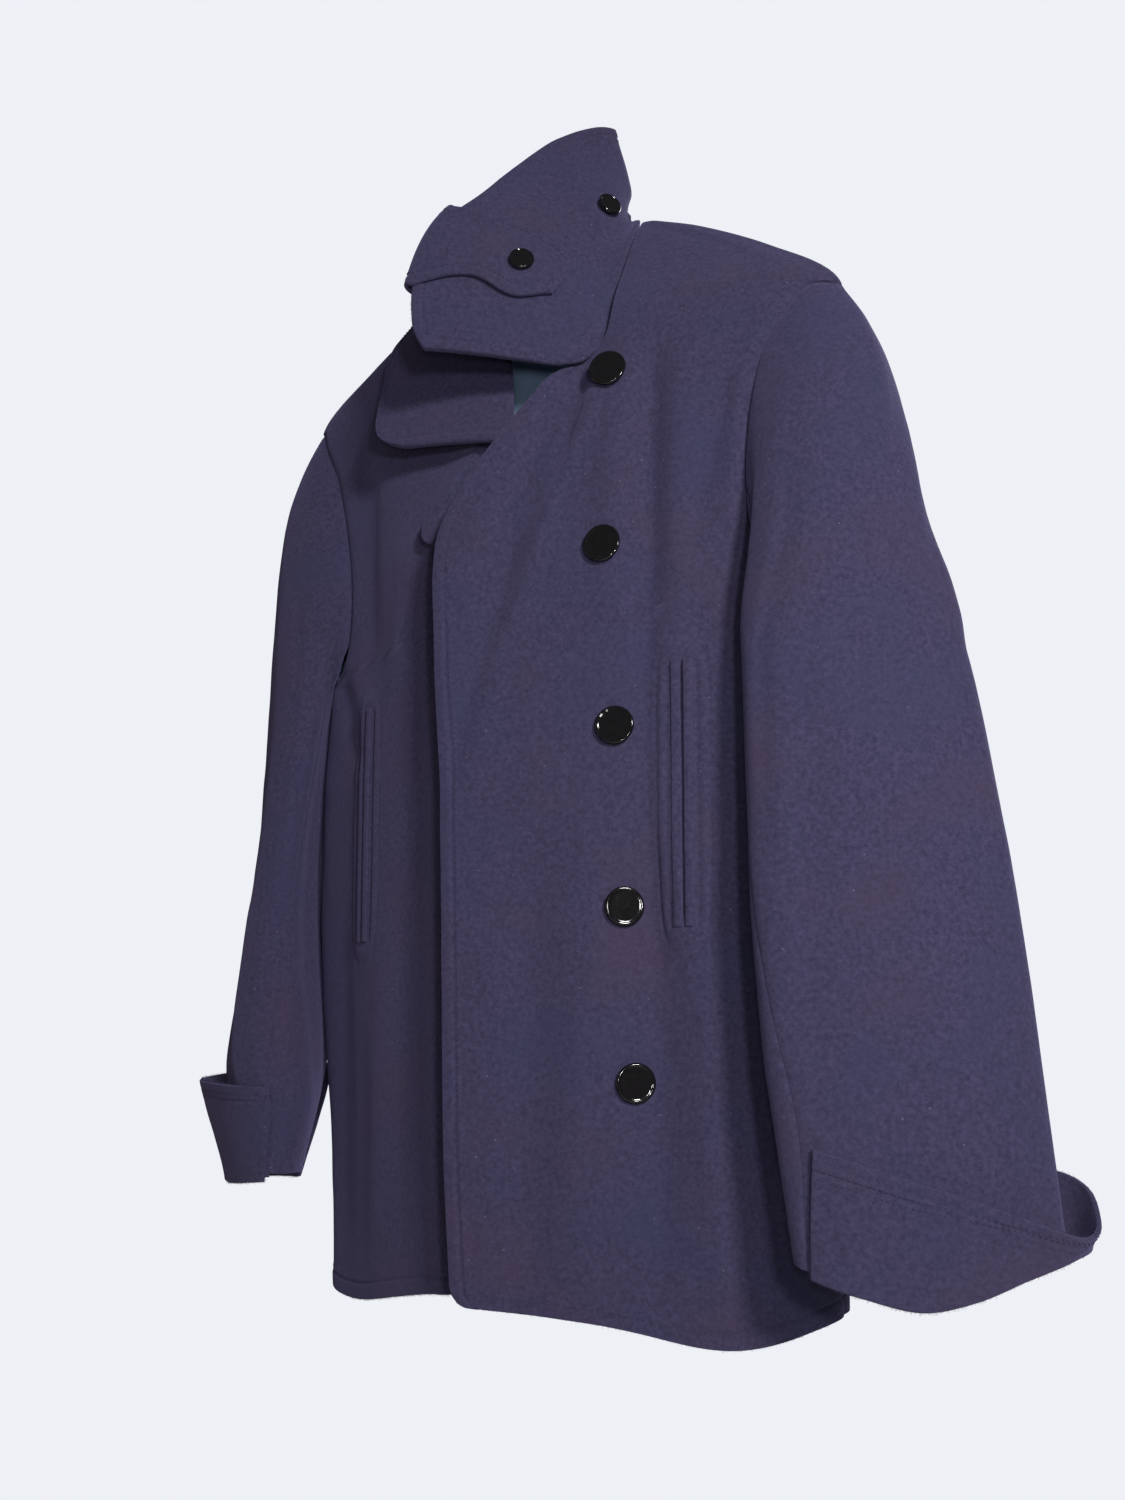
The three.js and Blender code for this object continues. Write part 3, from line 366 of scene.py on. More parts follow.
def woolMaterial(name, look, shade=1.0):
    # felted wool: mottled nap on the object's own coordinates, a faint twill on the cloth's UV
    material, nodes, links, shader = newMaterial(name)
    place = nodes.new("ShaderNodeTexCoord")
    mottle = addNode(nodes, "ShaderNodeTexNoise", Scale=look["mottleSize"], Detail=5.0, Roughness=0.65)
    patches = addNode(nodes, "ShaderNodeTexNoise", Scale=look["patchSize"], Detail=3.0, Roughness=0.5)
    nap = addNode(nodes, "ShaderNodeTexNoise", Scale=look["napSize"], Detail=3.0, Roughness=0.7)
    for texture in (mottle, patches, nap):
        links.new(place.outputs["Object"], texture.inputs["Vector"])
    twill = addNode(nodes, "ShaderNodeTexWave", Scale=190.0, Distortion=3.2, Detail=2.0)
    twill.inputs["Detail Scale"].default_value = 5.0
    addTurned(nodes, place, links, twill, 58)
    # nap: dark roots to light tips
    colour = addRamp(nodes, mottle.outputs["Fac"], links, shaded(look["deep"], shade),
                     shaded(look["light"], shade), (0.32, 0.68))
    # warmer where the patches are high, cooler where they are low, and here and there a fleck
    # of light lint
    warmth = addRamp(nodes, patches.outputs["Fac"], links, (0, 0, 0, 1), (0.45, 0.45, 0.45, 1),
                     (0.50, 0.74))
    colour = addMix(nodes, links, warmth, colour, shaded(look["warm"], shade))
    coolness = addRange(nodes, patches.outputs["Fac"], links, fromMin=0.48, fromMax=0.30, toMax=0.5)
    colour = addMix(nodes, links, coolness, colour, shaded(look["cool"], shade))
    flecks = addNode(nodes, "ShaderNodeTexVoronoi", Scale=look["lintSize"])
    links.new(place.outputs["Object"], flecks.inputs["Vector"])
    fleck = addRange(nodes, flecks.outputs["Distance"], links, fromMin=0.05, fromMax=0.02, toMax=0.45)
    colour = addMix(nodes, links, fleck, colour, shaded(look["lint"]))
    links.new(colour, shader.inputs["Base Color"])
    normal = addBump(nodes, nap.outputs["Fac"], links, 0.55, 0.0006)
    normal = addBump(nodes, mottle.outputs["Fac"], links, 0.5, 0.0011, normal)
    normal = addBump(nodes, twill.outputs["Fac"], links, 0.16, 0.0005, normal)
    links.new(normal, shader.inputs["Normal"])
    shader.inputs["Roughness"].default_value = look["roughness"]
    shader.inputs["Specular IOR Level"].default_value = 0.22
    shader.inputs["Sheen Weight"].default_value = look["sheen"]
    shader.inputs["Sheen Roughness"].default_value = look["sheenRoughness"]
    shader.inputs["Sheen Tint"].default_value = look["sheenTint"]
    return material


def liningMaterial(name, look):
    # smooth twill lining: fine diagonal ribs and a soft satin gloss
    material, nodes, links, shader = newMaterial(name)
    place = nodes.new("ShaderNodeTexCoord")
    ribs = addNode(nodes, "ShaderNodeTexWave", Scale=420.0, Distortion=0.6, Detail=1.0)
    addTurned(nodes, place, links, ribs, 35)
    streak = addNode(nodes, "ShaderNodeTexNoise", Scale=45.0, Detail=4.0)
    links.new(place.outputs["Object"], streak.inputs["Vector"])
    colour = addRamp(nodes, streak.outputs["Fac"], links, shaded(look["colour"], 0.75),
                     shaded(look["colour"], 1.25))
    links.new(colour, shader.inputs["Base Color"])
    links.new(addBump(nodes, ribs.outputs["Fac"], links, 0.12, 0.0002), shader.inputs["Normal"])
    shader.inputs["Roughness"].default_value = look["roughness"]
    return material


def glossMaterial(name, look):
    # polished black resin with faint wear
    material, nodes, links, shader = newMaterial(name)
    place = nodes.new("ShaderNodeTexCoord")
    wear = addNode(nodes, "ShaderNodeTexNoise", Scale=300.0, Detail=6.0)
    links.new(place.outputs["Object"], wear.inputs["Vector"])
    colour = addRamp(nodes, wear.outputs["Fac"], links, shaded(look["colour"]), shaded(look["colour"], 2.2))
    links.new(colour, shader.inputs["Base Color"])
    dull = addRange(nodes, wear.outputs["Fac"], links, toMin=look["roughness"] * 0.6,
                    toMax=look["roughness"] * 1.8)
    links.new(dull, shader.inputs["Roughness"])
    return material


def steelMaterial(name, look):
    # brushed steel: fine scratches across, dull spots
    material, nodes, links, shader = newMaterial(name)
    place = nodes.new("ShaderNodeTexCoord")
    stretch = addNode(nodes, "ShaderNodeMapping")
    stretch.inputs["Scale"].default_value = (60, 60, 2600)
    links.new(place.outputs["Object"], stretch.inputs["Vector"])
    brushed = addNode(nodes, "ShaderNodeTexNoise", Scale=1.0, Detail=4.0)
    links.new(stretch.outputs["Vector"], brushed.inputs["Vector"])
    colour = addRamp(nodes, brushed.outputs["Fac"], links, shaded(look["colour"], 0.8),
                     shaded(look["colour"], 1.15))
    links.new(colour, shader.inputs["Base Color"])
    dull = addRange(nodes, brushed.outputs["Fac"], links, toMin=look["roughness"] * 0.75,
                    toMax=look["roughness"] * 1.3)
    links.new(dull, shader.inputs["Roughness"])
    links.new(addBump(nodes, brushed.outputs["Fac"], links, 0.1, 0.0001), shader.inputs["Normal"])
    shader.inputs["Metallic"].default_value = 1.0
    return material


wool = woolMaterial("meltonWool", woolLook)
lining = liningMaterial("bodyLining", liningLook)
# a brightened copy of the lining material: painted light for the inside of the neck
neckLiningPaintedLight = liningMaterial("neckLiningPaintedLight", neckPaintedLightLook)
thread = woolMaterial("sewingThread", {**woolLook, "mottleSize": 900, "sheen": 0.3}, 0.8)
gloss = glossMaterial("buttonResin", buttonLook)
steel = steelMaterial("hookSteel", steelLook)

floorMaterial, *_, floorShader = newMaterial("paleFloor")
floorShader.inputs["Base Color"].default_value = (*floorLook["colour"], 1)
floorShader.inputs["Roughness"].default_value = floorLook["roughness"]
turns = np.linspace(0, 2 * np.pi, floorLook["corners"] + 1)[:-1]
rim = np.stack([np.cos(turns), np.sin(turns), 0 * turns], -1) * floorLook["radius"]
floorMesh = bpy.data.meshes.new("floor")
floorPoints = rim + (0, floorLook["middleY"], floorLook["height"])
floorMesh.from_pydata(floorPoints.tolist(), [], [list(range(floorLook["corners"]))])
floorMesh.materials.append(floorMaterial)
floor = bpy.data.objects.new("floor", floorMesh)
bpy.context.scene.collection.objects.link(floor)

# Body of the coat
# Level sections, as the maker's pattern gives them: x of the side lines, how far out from the
# wall the sides, the foremost line and the back are, and where the foremost line is.
bodySections = rowsOf(
    "z near far side peakX peak back",
    (-890, 196, -204, -42, -24, -162, -8), (-760, 199, -211, -42, -32, -161, -7),
    (-620, 200, -225, -42, -36, -159, -7), (-480, 200, -226, -43, -41, -157, -8),
    (-390, 203, -217, -45, -46, -155, -9), (-310, 207, -213, -50, -48, -150, -10),
    (-230, 214, -218, -57, -38, -140, -13), (-172, 221, -226, -62, -20, -125, -17),
    (-130, 173, -178, -60, -10, -106, -20), (-95, 118, -124, -58, 0, -88, -22),
    (-72, 74, -78, -54, 0, -76, -24), (-48, 50, -54, -46, 0, -60, -25),
)
# Columns round a section: 0 to 6 the front up to its foremost line, 7 to 11 on to the far
# side, 12 to 16 the back. "across" and "out" are shares of the section's sizes.
sectionColumns = {
    "part": [0, 0, 0, 0, 0, 0, 0, 1, 1, 1, 1, 1, 2, 2, 2, 2, 2],
    "across": [0, .05, .18, .36, .56, .78, 1, .22, .47, .72, .93, 1, .035, .22, .5, .78, .965],
    "out": [0, .26, .42, .56, .71, .865, 1, .83, .62, .43, .25, 0, .78, 1, 1, 1, .78],
}
body = {
    "columns": 17, "foremost": 6, "farSide": 11, "rearMiddle": 14, "hem": -852,
    "armholeTop": -174, "armholeBottom": -388, "neck": -76, "nape": -56, "neckHalf": 64,
    "thick": 2.6, "halfSeam": 0.004,
}
# Folds, one by one: a soft trough (or a ridge, where the depth is negative) from its top
# to its foot. frontFolds and rearFolds are the large ones, smallFolds the creases between them.
frontFolds = rowsOf(
    "topX topZ footX footZ width depth",
    (102, -190, 100, -430, 15, 5), (62, -185, -20, -400, 17, 6), (100, -560, 104, -800, 20, 4),
    (-160, -210, -140, -420, 16, 5), (-84, -480, -92, -790, 18, 4),
)
smallFolds = rowsOf(
    "topX topZ footX footZ width depth",
    (96, -205, 93, -420, 8, 4.6), (116, -215, 112, -430, 11, -3.2),
    (76, -240, 72, -400, 12, -2.6), (150, -230, 128, -340, 9, 3.2),
    (172, -330, 124, -425, 11, 3.4), (46, -196, -8, -330, 7, 3.9),
    (66, -212, 18, -350, 8, -4.2), (56, -170, 34, -290, 6, 3.6),
    (34, -300, -18, -470, 10, -2.8), (8, -330, -36, -520, 9, 3.4),
    (93, -400, 97, -640, 9, 4.0), (97, -560, 102, -850, 13, 3.9),
    (62, -520, 52, -850, 17, -3.2), (22, -560, 26, -850, 14, 3.2),
    (132, -620, 138, -860, 13, -3.1), (165, -600, 168, -850, 14, 3.4),
    (-66, -320, -82, -500, 11, 3.4), (-100, -300, -112, -430, 12, -2.8),
    (-196, -380, -150, -470, 11, 3.9), (-120, -600, -126, -850, 13, -3.1),
    (-172, -600, -174, -850, 13, 3.4),
)
rearFolds = rowsOf(
    "topX topZ footX footZ width depth",
    (-100, -210, -120, -620, 26, 4), (96, -200, 120, -560, 26, 4),
)


def foldDepth(folds, x, z):
    depth = 0
    for fold in folds:
        s = (z - fold["topZ"]) / (fold["footZ"] - fold["topZ"])
        line = mix(fold["topX"], fold["footX"], s)
        fade = ease(-0.12, 0.2, s) * ease(1.12, 0.7, s)
        depth = depth + fold["depth"] * fade * hump(x, line, fold["width"])
    return depth


def sectionPoint(row, column):
    # a share of the way across from one side line to the next, and out to the deepest line
    column = column % body["columns"]
    part = np.array(sectionColumns["part"])[column]
    across = np.array(sectionColumns["across"])[column]
    out = np.array(sectionColumns["out"])[column]
    start = np.choose(part, [row["near"], row["peakX"], row["far"]])
    end = np.choose(part, [row["peakX"], row["far"], row["near"]])
    deepest = np.choose(part, [row["peak"], row["peak"], row["back"]])
    return mix(start, end, across), mix(row["side"], deepest, out)


def bodyPoint(u, z):
    # u counts the section's columns, joined by a Catmull-Rom curve; the folds press it in
    u, z = np.broadcast_arrays(np.asarray(u, float), np.asarray(z, float))
    row = readTable(bodySections, z)
    k = np.floor(u).astype(int)
    s = u - k
    corners = [sectionPoint(row, k + i) for i in (-1, 0, 1, 2)]
    x, y = (0.5 * (2 * b + (c - a) * s + (2 * a - 5 * b + 4 * c - e) * s ** 2
                   + (3 * b - a - 3 * c + e) * s ** 3)
            for a, b, c, e in zip(*corners))
    inFront = np.mod(u, body["columns"]) < body["farSide"]
    press = np.where(inFront, foldDepth(frontFolds + smallFolds, x, z), -foldDepth(rearFolds, x, z))
    return np.stack([x, y + press, z], -1)


def bodyNormal(u, z):
    alongU = bodyPoint(u + 0.02, z) - bodyPoint(u - 0.02, z)
    alongZ = bodyPoint(u, z + 1) - bodyPoint(u, z - 1)
    return unit(np.cross(alongZ, alongU))


def bodyOffset(u, z, out):
    return bodyPoint(u, z) + bodyNormal(u, z) * np.asarray(out)[..., None]


def frontColumn(x, z):  # the column at which the front crosses x, by halving
    shape = np.broadcast(x, z).shape
    low, high = np.zeros(shape), np.full(shape, float(body["farSide"]))
    for _ in range(32):
        middle = (low + high) / 2
        past = bodyPoint(middle, z)[..., 0] > x
        low, high = np.where(past, middle, low), np.where(past, high, middle)
    return (low + high) / 2


# How many columns an armhole reaches into its panel, how much of that lies lower down, and how
# blunt its outline is (1 would be an ellipse)
armholes = {
    "leftFront": {"reach": 2.05, "lower": 0, "square": 0.3},
    "rightFront": {"reach": 1.6, "lower": 0.3, "square": 0.3},
    "rear": {"reach": 1.25, "lower": 0, "square": 0.6},
}
armMiddle = (body["armholeTop"] + body["armholeBottom"]) / 2
armHalf = (body["armholeTop"] - body["armholeBottom"]) / 2


def armholeCut(z, cut):  # how many columns an armhole reaches into its panel at some height
    s = np.clip((np.asarray(z, float) - armMiddle) / armHalf, -1, 1)
    return cut["reach"] * (1 - cut["lower"] * s) * (1 - s * s) ** (cut["square"] / 2)


def hemDrop(u, z):  # the hem sags towards the sides and rises a little at the front corner
    sag = -17 * hump(u, 2.4, 1.42) - 15 * hump(u, 9.3, 1.5)
    corner = 6 * hump(u, body["foremost"] + 0.4, 1.2)
    return (sag + corner) * ease(body["hem"] + 90, body["hem"], z)


leftEdge = rowsOf(
    "z x",
    (-852, -23), (-760, -30), (-650, -34), (-515, -39), (-400, -47), (-331, -49), (-296, -34),
    (-262, -12), (-228, 15), (-211, 30), (-200, 54), (-184, 66), (-140, 69), (-100, 70.5),
    (-76, 71),
)
rightEdge = rowsOf(
    "z x",
    (-852, 62), (-760, 58), (-620, 54), (-480, 50), (-345, 46), (-290, 14), (-240, -16),
    (-190, -38), (-140, -56), (-100, -64), (-76, -68),
)


def rightFrontOut(u, z):  # the right front sinks in under the left one
    return -mix(15, 25, ease(-330, -230, z)) * ease(body["foremost"] + 2.4, body["foremost"] + 0.3, u)


def panelLevels(rowGap):
    # heights of the grid's rows: close at the hem, even up the skirt, in equal turns up the
    # armhole, even up the shoulder and close at the seam
    skirt = body["armholeBottom"] - body["hem"]
    low = body["hem"] + gridLines(skirt, "hem", "seam", rowGap) * skirt
    turn = np.linspace(-np.pi / 2, np.pi / 2, int(2 * armHalf * 1.25 / rowGap))[1:-1]
    nearEnd = np.linspace(1.25, 1.556, 16)  # close rows where the armhole turns sharply
    turn = np.concatenate([-nearEnd[::-1], turn[np.abs(turn) < 1.25], nearEnd])
    shoulder = body["neck"] - body["armholeTop"]
    high = body["armholeTop"] + gridLines(shoulder, "seam", "seam", rowGap) * shoulder
    return np.concatenate([low[:-8], armMiddle + armHalf * np.sin(turn), high[4:]])


def panelGrid(levels, start, end, columns, over=None):
    # at each level the columns are spread between the panel's two sides, then drop with the hem
    z = levels[:, None]
    u = start(levels)[:, None] + (end(levels) - start(levels))[:, None] * columns[None, :]
    drop = hemDrop(u, z)
    out = np.zeros_like(u) if over is None else over(u, z)
    return bodyOffset(u, z + drop, out), u, np.broadcast_to(z + drop, u.shape)


def handling(grid, amount, seed, x=None):
    # slight unevenness of a worn cloth: long soft ripples and short ones
    x, z = lengths(grid, 1) if x is None else x, grid[..., 2]
    return amount * (0.8 * softNoise(x, z, 34, 70, seed) + 0.35 * softNoise(x, z, 13, 22, seed + 1))


def calm(d, *sides):  # 0 on the named sides, so that neighbours meet exactly, 1 from 9 mm on
    return ease(0.5, 9, nearest(d, *sides))


stitchRuns = []  # (points, normals) of every line of topstitching, in millimetres
stitchLift = 0.1  # how far the thread lies above the cloth


def stitchAlong(made, row=None, column=None, first=0, last=None):
    line = (row, slice(first, last)) if row is not None else (slice(first, last), column)
    points, normals = made["outer"][line], made["normals"][line]
    stitchRuns.append((points + normals * stitchLift, normals))


def nearestLine(d, side, distance):  # the grid line whose mean distance from a side is nearest
    axis = 0 if side in ("start", "end") else 1
    return int(np.abs(d[side].mean(axis=axis) - distance).argmin())


# Pockets, as relief on the fronts
pockets = {
    "length": 178, "top": -428, "leftX": 118, "rightX": -143, "weltWide": 6.4, "weltGap": 1.2,
    "stitchAcross": 17, "stitchUp": 15, "closeHalf": 23.0, "closeLines": 37,
}
pocketMiddle = pockets["top"] - pockets["length"] / 2


def edgeDip(x, z, deep):
    # how far the cloth under the outer front sinks in just beside the outer front's edge
    line = readTable(leftEdge, z)["x"] - mix(14, 20, ease(-345, -290, z))
    return deep * hump(x, line, mix(5, 6.5, ease(-345, -290, z)))


def pocketColumns(columns, start, end, middleX):
    # the grid's columns, with close ones put in on both sides of a pocket
    middleZ = np.array([pocketMiddle])
    sides = [frontColumn(np.array([middleX + sign * pockets["closeHalf"]]), middleZ) for sign in (1, -1)]
    low, high = sorted(float((u - start(middleZ))[0] / (end(middleZ) - start(middleZ))[0]) for u in sides)
    close = np.linspace(low, high, pockets["closeLines"])
    return np.concatenate([columns[columns < low], close, columns[columns > high]])


def pocketRelief(x, z, middleX):
    # a padded oval round the slit, with a stitched groove round the oval and a pucker at its ends
    half = pockets["length"] / 2
    fromX, fromZ = np.abs(x - middleX), np.abs(z - pocketMiddle)
    halfX, halfZ = pockets["stitchAcross"], half + pockets["stitchUp"]
    ring = ((fromX / halfX) ** 2.6 + (fromZ / halfZ) ** 9) ** (1 / 2.6)
    groove = -1.7 * np.exp(-(((ring - 1) * halfX / 1.6) ** 2))
    pad = 1.7 * ease(1.3, 0.9, ring)
    slit = -2.2 * hump(x, middleX, 2.6) * ease(1.0, 0.93, fromZ / half)
    beside = -1.5 * hump(fromX, 9.4, 1.4) * ease(1.02, 0.95, fromZ / half)
    return groove + pad + slit + beside


# The two fronts
panelLook = {"thick": 2.6, "hemStitch": 11.7, "seamWool": 14, "topWool": 12, "facing": 75, "ripple": 42}
frontButtons = [(70, -217), (69, -345), (76, -471), (81, -592), (87, -706)]
frontLeftLook = {
    **panelLook, "cut": (0.30, 0.94), "area": 0.185, "replaces": ["front_left"],
    "edge": (9.1, 1.5, 1.5), "wide": 250, "columnGap": 4.2, "rowGap": 4.6,
    "joined": {"start": 0.6, "top": 0.6}, "corner": 13, "rollFoot": -214,
    "dartTop": -246, "dartFoot": -318,
}


def leftStart(z):
    return armholeCut(z, armholes["leftFront"]) + body["halfSeam"]


def leftEnd(z):  # the outer front's free edge, with a round corner at the hem
    edge = readTable(leftEdge, z)["x"] + roundedEdge(z - body["hem"], frontLeftLook["corner"])
    return frontColumn(edge, z) - body["halfSeam"]


def rightStart(z):
    return frontColumn(readTable(rightEdge, z)["x"], z) + body["halfSeam"]


def rightEnd(z):
    return body["farSide"] - armholeCut(z, armholes["rightFront"]) - body["halfSeam"]


def armAllowance(distance, z):  # the seam allowance under the cloth raises it along the armhole
    return 1.0 * hump(distance, 9, 6) * ease(-385, -350, z)


levels = panelLevels(frontLeftLook["rowGap"])
columns = gridLines(frontLeftLook["wide"], "seam", "sewn", frontLeftLook["columnGap"])
columns = pocketColumns(columns, leftStart, leftEnd, pockets["leftX"])
grid, u, z = panelGrid(levels, leftStart, leftEnd, columns)
d = edgeDistances(grid)
relief = handling(grid, 0.6, 3, panelLook["ripple"] * u) * calm(d, "start", "top")
relief += sewnBand(d["end"], *frontLeftLook["edge"]) * ease(-200, frontLeftLook["rollFoot"], z)
relief += sewnBand(d["low"], panelLook["hemStitch"], 1.1, 1.3)
relief -= seamDip(d["start"]) + seamDip(d["top"], 2.4)
relief += armAllowance(d["start"], z)
relief += pocketRelief(grid[..., 0], grid[..., 2], pockets["leftX"])
dartShare = (z - frontLeftLook["dartTop"]) / (frontLeftLook["dartFoot"] - frontLeftLook["dartTop"])
relief -= 1.5 * hump(grid[..., 0], mix(16, 8, dartShare), 1.6) * ease(-240, -252, z) * ease(-322, -300, z)
for buttonX, buttonZ in frontButtons:  # the cloth is drawn in under a button and swells round it
    away = np.hypot(grid[..., 0] - buttonX, grid[..., 2] - buttonZ)
    relief -= 0.9 * hump(away, 0, 11) - 0.35 * hump(away, 19, 6)
woolInside = (d["end"] < panelLook["facing"]) | (d["start"] < panelLook["seamWool"]) | (
    d["top"] < panelLook["topWool"])
frontLeft = clothPiece("frontLeft", grid, frontLeftLook, relief, 0, [wool, lining], woolInside,
                       bodyNormal(u, z))
stitchTop = int(np.searchsorted(levels, frontLeftLook["rollFoot"]))
stitchAlong(frontLeft, column=nearestLine(d, "end", frontLeftLook["edge"][0]), first=8, last=stitchTop)
stitchAlong(frontLeft, row=nearestLine(d, "low", panelLook["hemStitch"]), first=6, last=-10)

frontRightLook = {
    **panelLook, "cut": (0.315, 0.935), "area": 0.202, "replaces": ["front_right"],
    "edge": (9.1, 0.8, 0.8), "wide": 270, "columnGap": 4.4, "rowGap": 4.8,
    "joined": {"end": 0.6, "top": 0.6},
}
levels = panelLevels(frontRightLook["rowGap"])
columns = gridLines(frontRightLook["wide"], "sewn", "seam", frontRightLook["columnGap"])
columns = pocketColumns(columns, rightStart, rightEnd, pockets["rightX"])
grid, u, z = panelGrid(levels, rightStart, rightEnd, columns, rightFrontOut)
d = edgeDistances(grid)
relief = handling(grid, 0.6, 7, panelLook["ripple"] * u) * calm(d, "end", "top")
band = sewnBand(d["start"], *frontRightLook["edge"])
relief += band + sewnBand(d["low"], panelLook["hemStitch"], 1.1, 1.3)
relief -= seamDip(d["end"]) + seamDip(d["top"], 2.4)
relief += armAllowance(d["end"], z)
relief += pocketRelief(grid[..., 0], grid[..., 2], pockets["rightX"])
relief -= edgeDip(grid[..., 0], z, 15)  # it dips under the outer front's edge
woolInside = (d["start"] < panelLook["facing"]) | (d["end"] < panelLook["seamWool"]) | (
    d["top"] < panelLook["topWool"])
frontRight = clothPiece("frontRight", grid, frontRightLook, relief, 0, [wool, lining], woolInside,
                        bodyNormal(u, z))
stitchAlong(frontRight, row=nearestLine(d, "low", panelLook["hemStitch"]), first=10, last=-6)
print("fronts are made")

# The two backs
backLook = {**panelLook, "cut": (0.25, 0.915), "area": 0.170, "wide": 215, "columnGap": 5, "rowGap": 6,
            "joined": {"start": 0.6, "end": 0.6, "top": 0.6}}
levels = panelLevels(backLook["rowGap"])
columns = gridLines(backLook["wide"], "seam", "seam", backLook["columnGap"])
backSides = {
    "backRight": ("back_right",
                  lambda z: body["farSide"] + armholeCut(z, armholes["rear"]) + body["halfSeam"],
                  lambda z: np.full_like(z, body["rearMiddle"] - body["halfSeam"])),
    "backLeft": ("back_left", lambda z: np.full_like(z, body["rearMiddle"] + body["halfSeam"]),
                 lambda z: body["columns"] - armholeCut(z, armholes["rear"]) - body["halfSeam"]),
}
for number, (name, (node, start, end)) in enumerate(backSides.items()):
    grid, u, z = panelGrid(levels, start, end, columns)
    climb = ease(-136, body["neck"], z)  # the top edge rises from the shoulder seams to the nape
    rise = (body["nape"] - body["neck"]) * (1 - np.clip(np.abs(grid[..., 0]) / body["neckHalf"], 0, 1) ** 2)
    grid[..., 2] += rise * climb
    d = edgeDistances(grid)
    relief = handling(grid, 0.7, 20 + number, panelLook["ripple"] * u) * calm(d, "start", "end", "top")
    relief += sewnBand(d["low"], panelLook["hemStitch"], 0.8, 0.9)
    relief -= 0.6 * (hump(d["start"], 0, 2.6) + hump(d["end"], 0, 2.6) + hump(d["top"], 0, 2.4))
    woolInside = (d["low"] < 30) | (nearest(d, "start", "end") < panelLook["seamWool"]) | (d["top"] < 8)
    made = clothPiece(name, grid, {**backLook, "replaces": [node]}, relief, 0, [wool, lining], woolInside,
                      bodyNormal(u, z))
    stitchAlong(made, row=nearestLine(d, "low", panelLook["hemStitch"]), first=6, last=-6)

backLiningLook = {"thick": 1.2, "cut": (0.235, 0.26), "area": 0.050, "slot": "lining",
                  "replaces": ["lining_back"], "foot": -330, "top": -92, "halfWide": 0.9, "inside": -4.6}
grid, *_ = panelGrid(np.linspace(backLiningLook["foot"], backLiningLook["top"], 60),
                     lambda z: np.full_like(z, body["rearMiddle"] - backLiningLook["halfWide"]),
                     lambda z: np.full_like(z, body["rearMiddle"] + backLiningLook["halfWide"]),
                     gridLines(270, "seam", "seam", 5),
                     lambda u, z: np.full_like(u, backLiningLook["inside"]))
pleat = -1.6 * hump(grid[..., 0], 4, 2.5) + 1.2 * hump(grid[..., 0], -3, 4)  # down the middle, for ease
# the back lining takes the brightened lining material: painted light inside the neck
clothPiece("liningBack", grid, backLiningLook, handling(grid, 0.4, 30), pleat, [neckLiningPaintedLight])
print("backs and lining are made")

# Lapels and pocket welts
def patchGrid(sides, levels, columns, over):
    # a piece laid on the front between two lines, "over" millimetres out from the body
    side = readTable(sides, levels)
    x = side["left"][:, None] + (side["right"] - side["left"])[:, None] * columns[None, :]
    z = np.broadcast_to(levels[:, None], x.shape)
    u = frontColumn(x, z)
    return bodyOffset(u, z, over(u, np.broadcast_to(columns[None, :], x.shape), z)), u, z


lapelRightLook = {"thick": 2.6, "cut": (0.11, 0.15), "area": 0.0069, "replaces": ["lapel_right"]}
lapelRight = rowsOf(
    "z left right",
    (-345, 40, -8), (-332, 36, -50), (-318, 28, -76), (-304, 18, -80), (-290, 9, -68),
    (-274, 1, -53), (-258, -8, -36),
)
grid, u, z = patchGrid(lapelRight, np.linspace(-345, -258, 64), gridLines(90, "seam", "sewn", 2.4),
                       lambda u, s, z: rightFrontOut(u, z) + 6.2 + 1.6 * ease(0.5, 1, s))
d = edgeDistances(grid)
relief = handling(grid, 0.2, 40) + sewnBand(nearest(d, "end", "low", "top"), 6.4, 0.25, 0.6)
clothPiece("lapelRight", grid, lapelRightLook, relief - edgeDip(grid[..., 0], z, 8))

lapelLeftLook = {"thick": 2.2, "cut": (0.055, 0.13), "area": 0.0048, "replaces": ["lapel_left"]}
lapelLeft = rowsOf(
    "z left right",
    (-322, -10, -40), (-300, 16, -28), (-270, 40, -9), (-240, 52, 12), (-222, 58, 28),
)
grid, *_ = patchGrid(lapelLeft, np.linspace(-322, -222, 50), gridLines(60, "seam", "seam", 3),
                     lambda u, s, z: np.full_like(u, -body["thick"] - 1.4))
clothPiece("lapelLeft", grid, lapelLeftLook)

weltLook = {"thick": 2.4, "cut": (0.014, 0.178), "area": 0.0013, "high": 2.7}
weltLevels = pockets["top"] - pockets["length"] * (1 - gridLines(pockets["length"], "seam", "seam", 4))
for side, middleX in (("left", pockets["leftX"]), ("right", pockets["rightX"])):
    for place, sign in (("front", -1), ("rear", 1)):
        outward = math.copysign(1, sign * middleX)
        inner = middleX + outward * pockets["weltGap"] / 2
        outer = inner + outward * pockets["weltWide"]
        left, right = max(inner, outer), min(inner, outer)
        strip = rowsOf("z left right", (-900, left, right), (-100, left, right))
        grid, _, z = patchGrid(strip, weltLevels, np.linspace(0, 1, 17),
                               lambda u, s, z: weltLook["high"] + 0.9 * np.sin(np.pi * s))
        clothPiece(f"welt{place.title()}{side.title()}", grid,
                   {**weltLook, "replaces": [f"welt_{place}_{side}"]},
                   0.12 * softNoise(grid[..., 2], 0 * z, 9, 9, 50))
print("lapels and pockets are made")

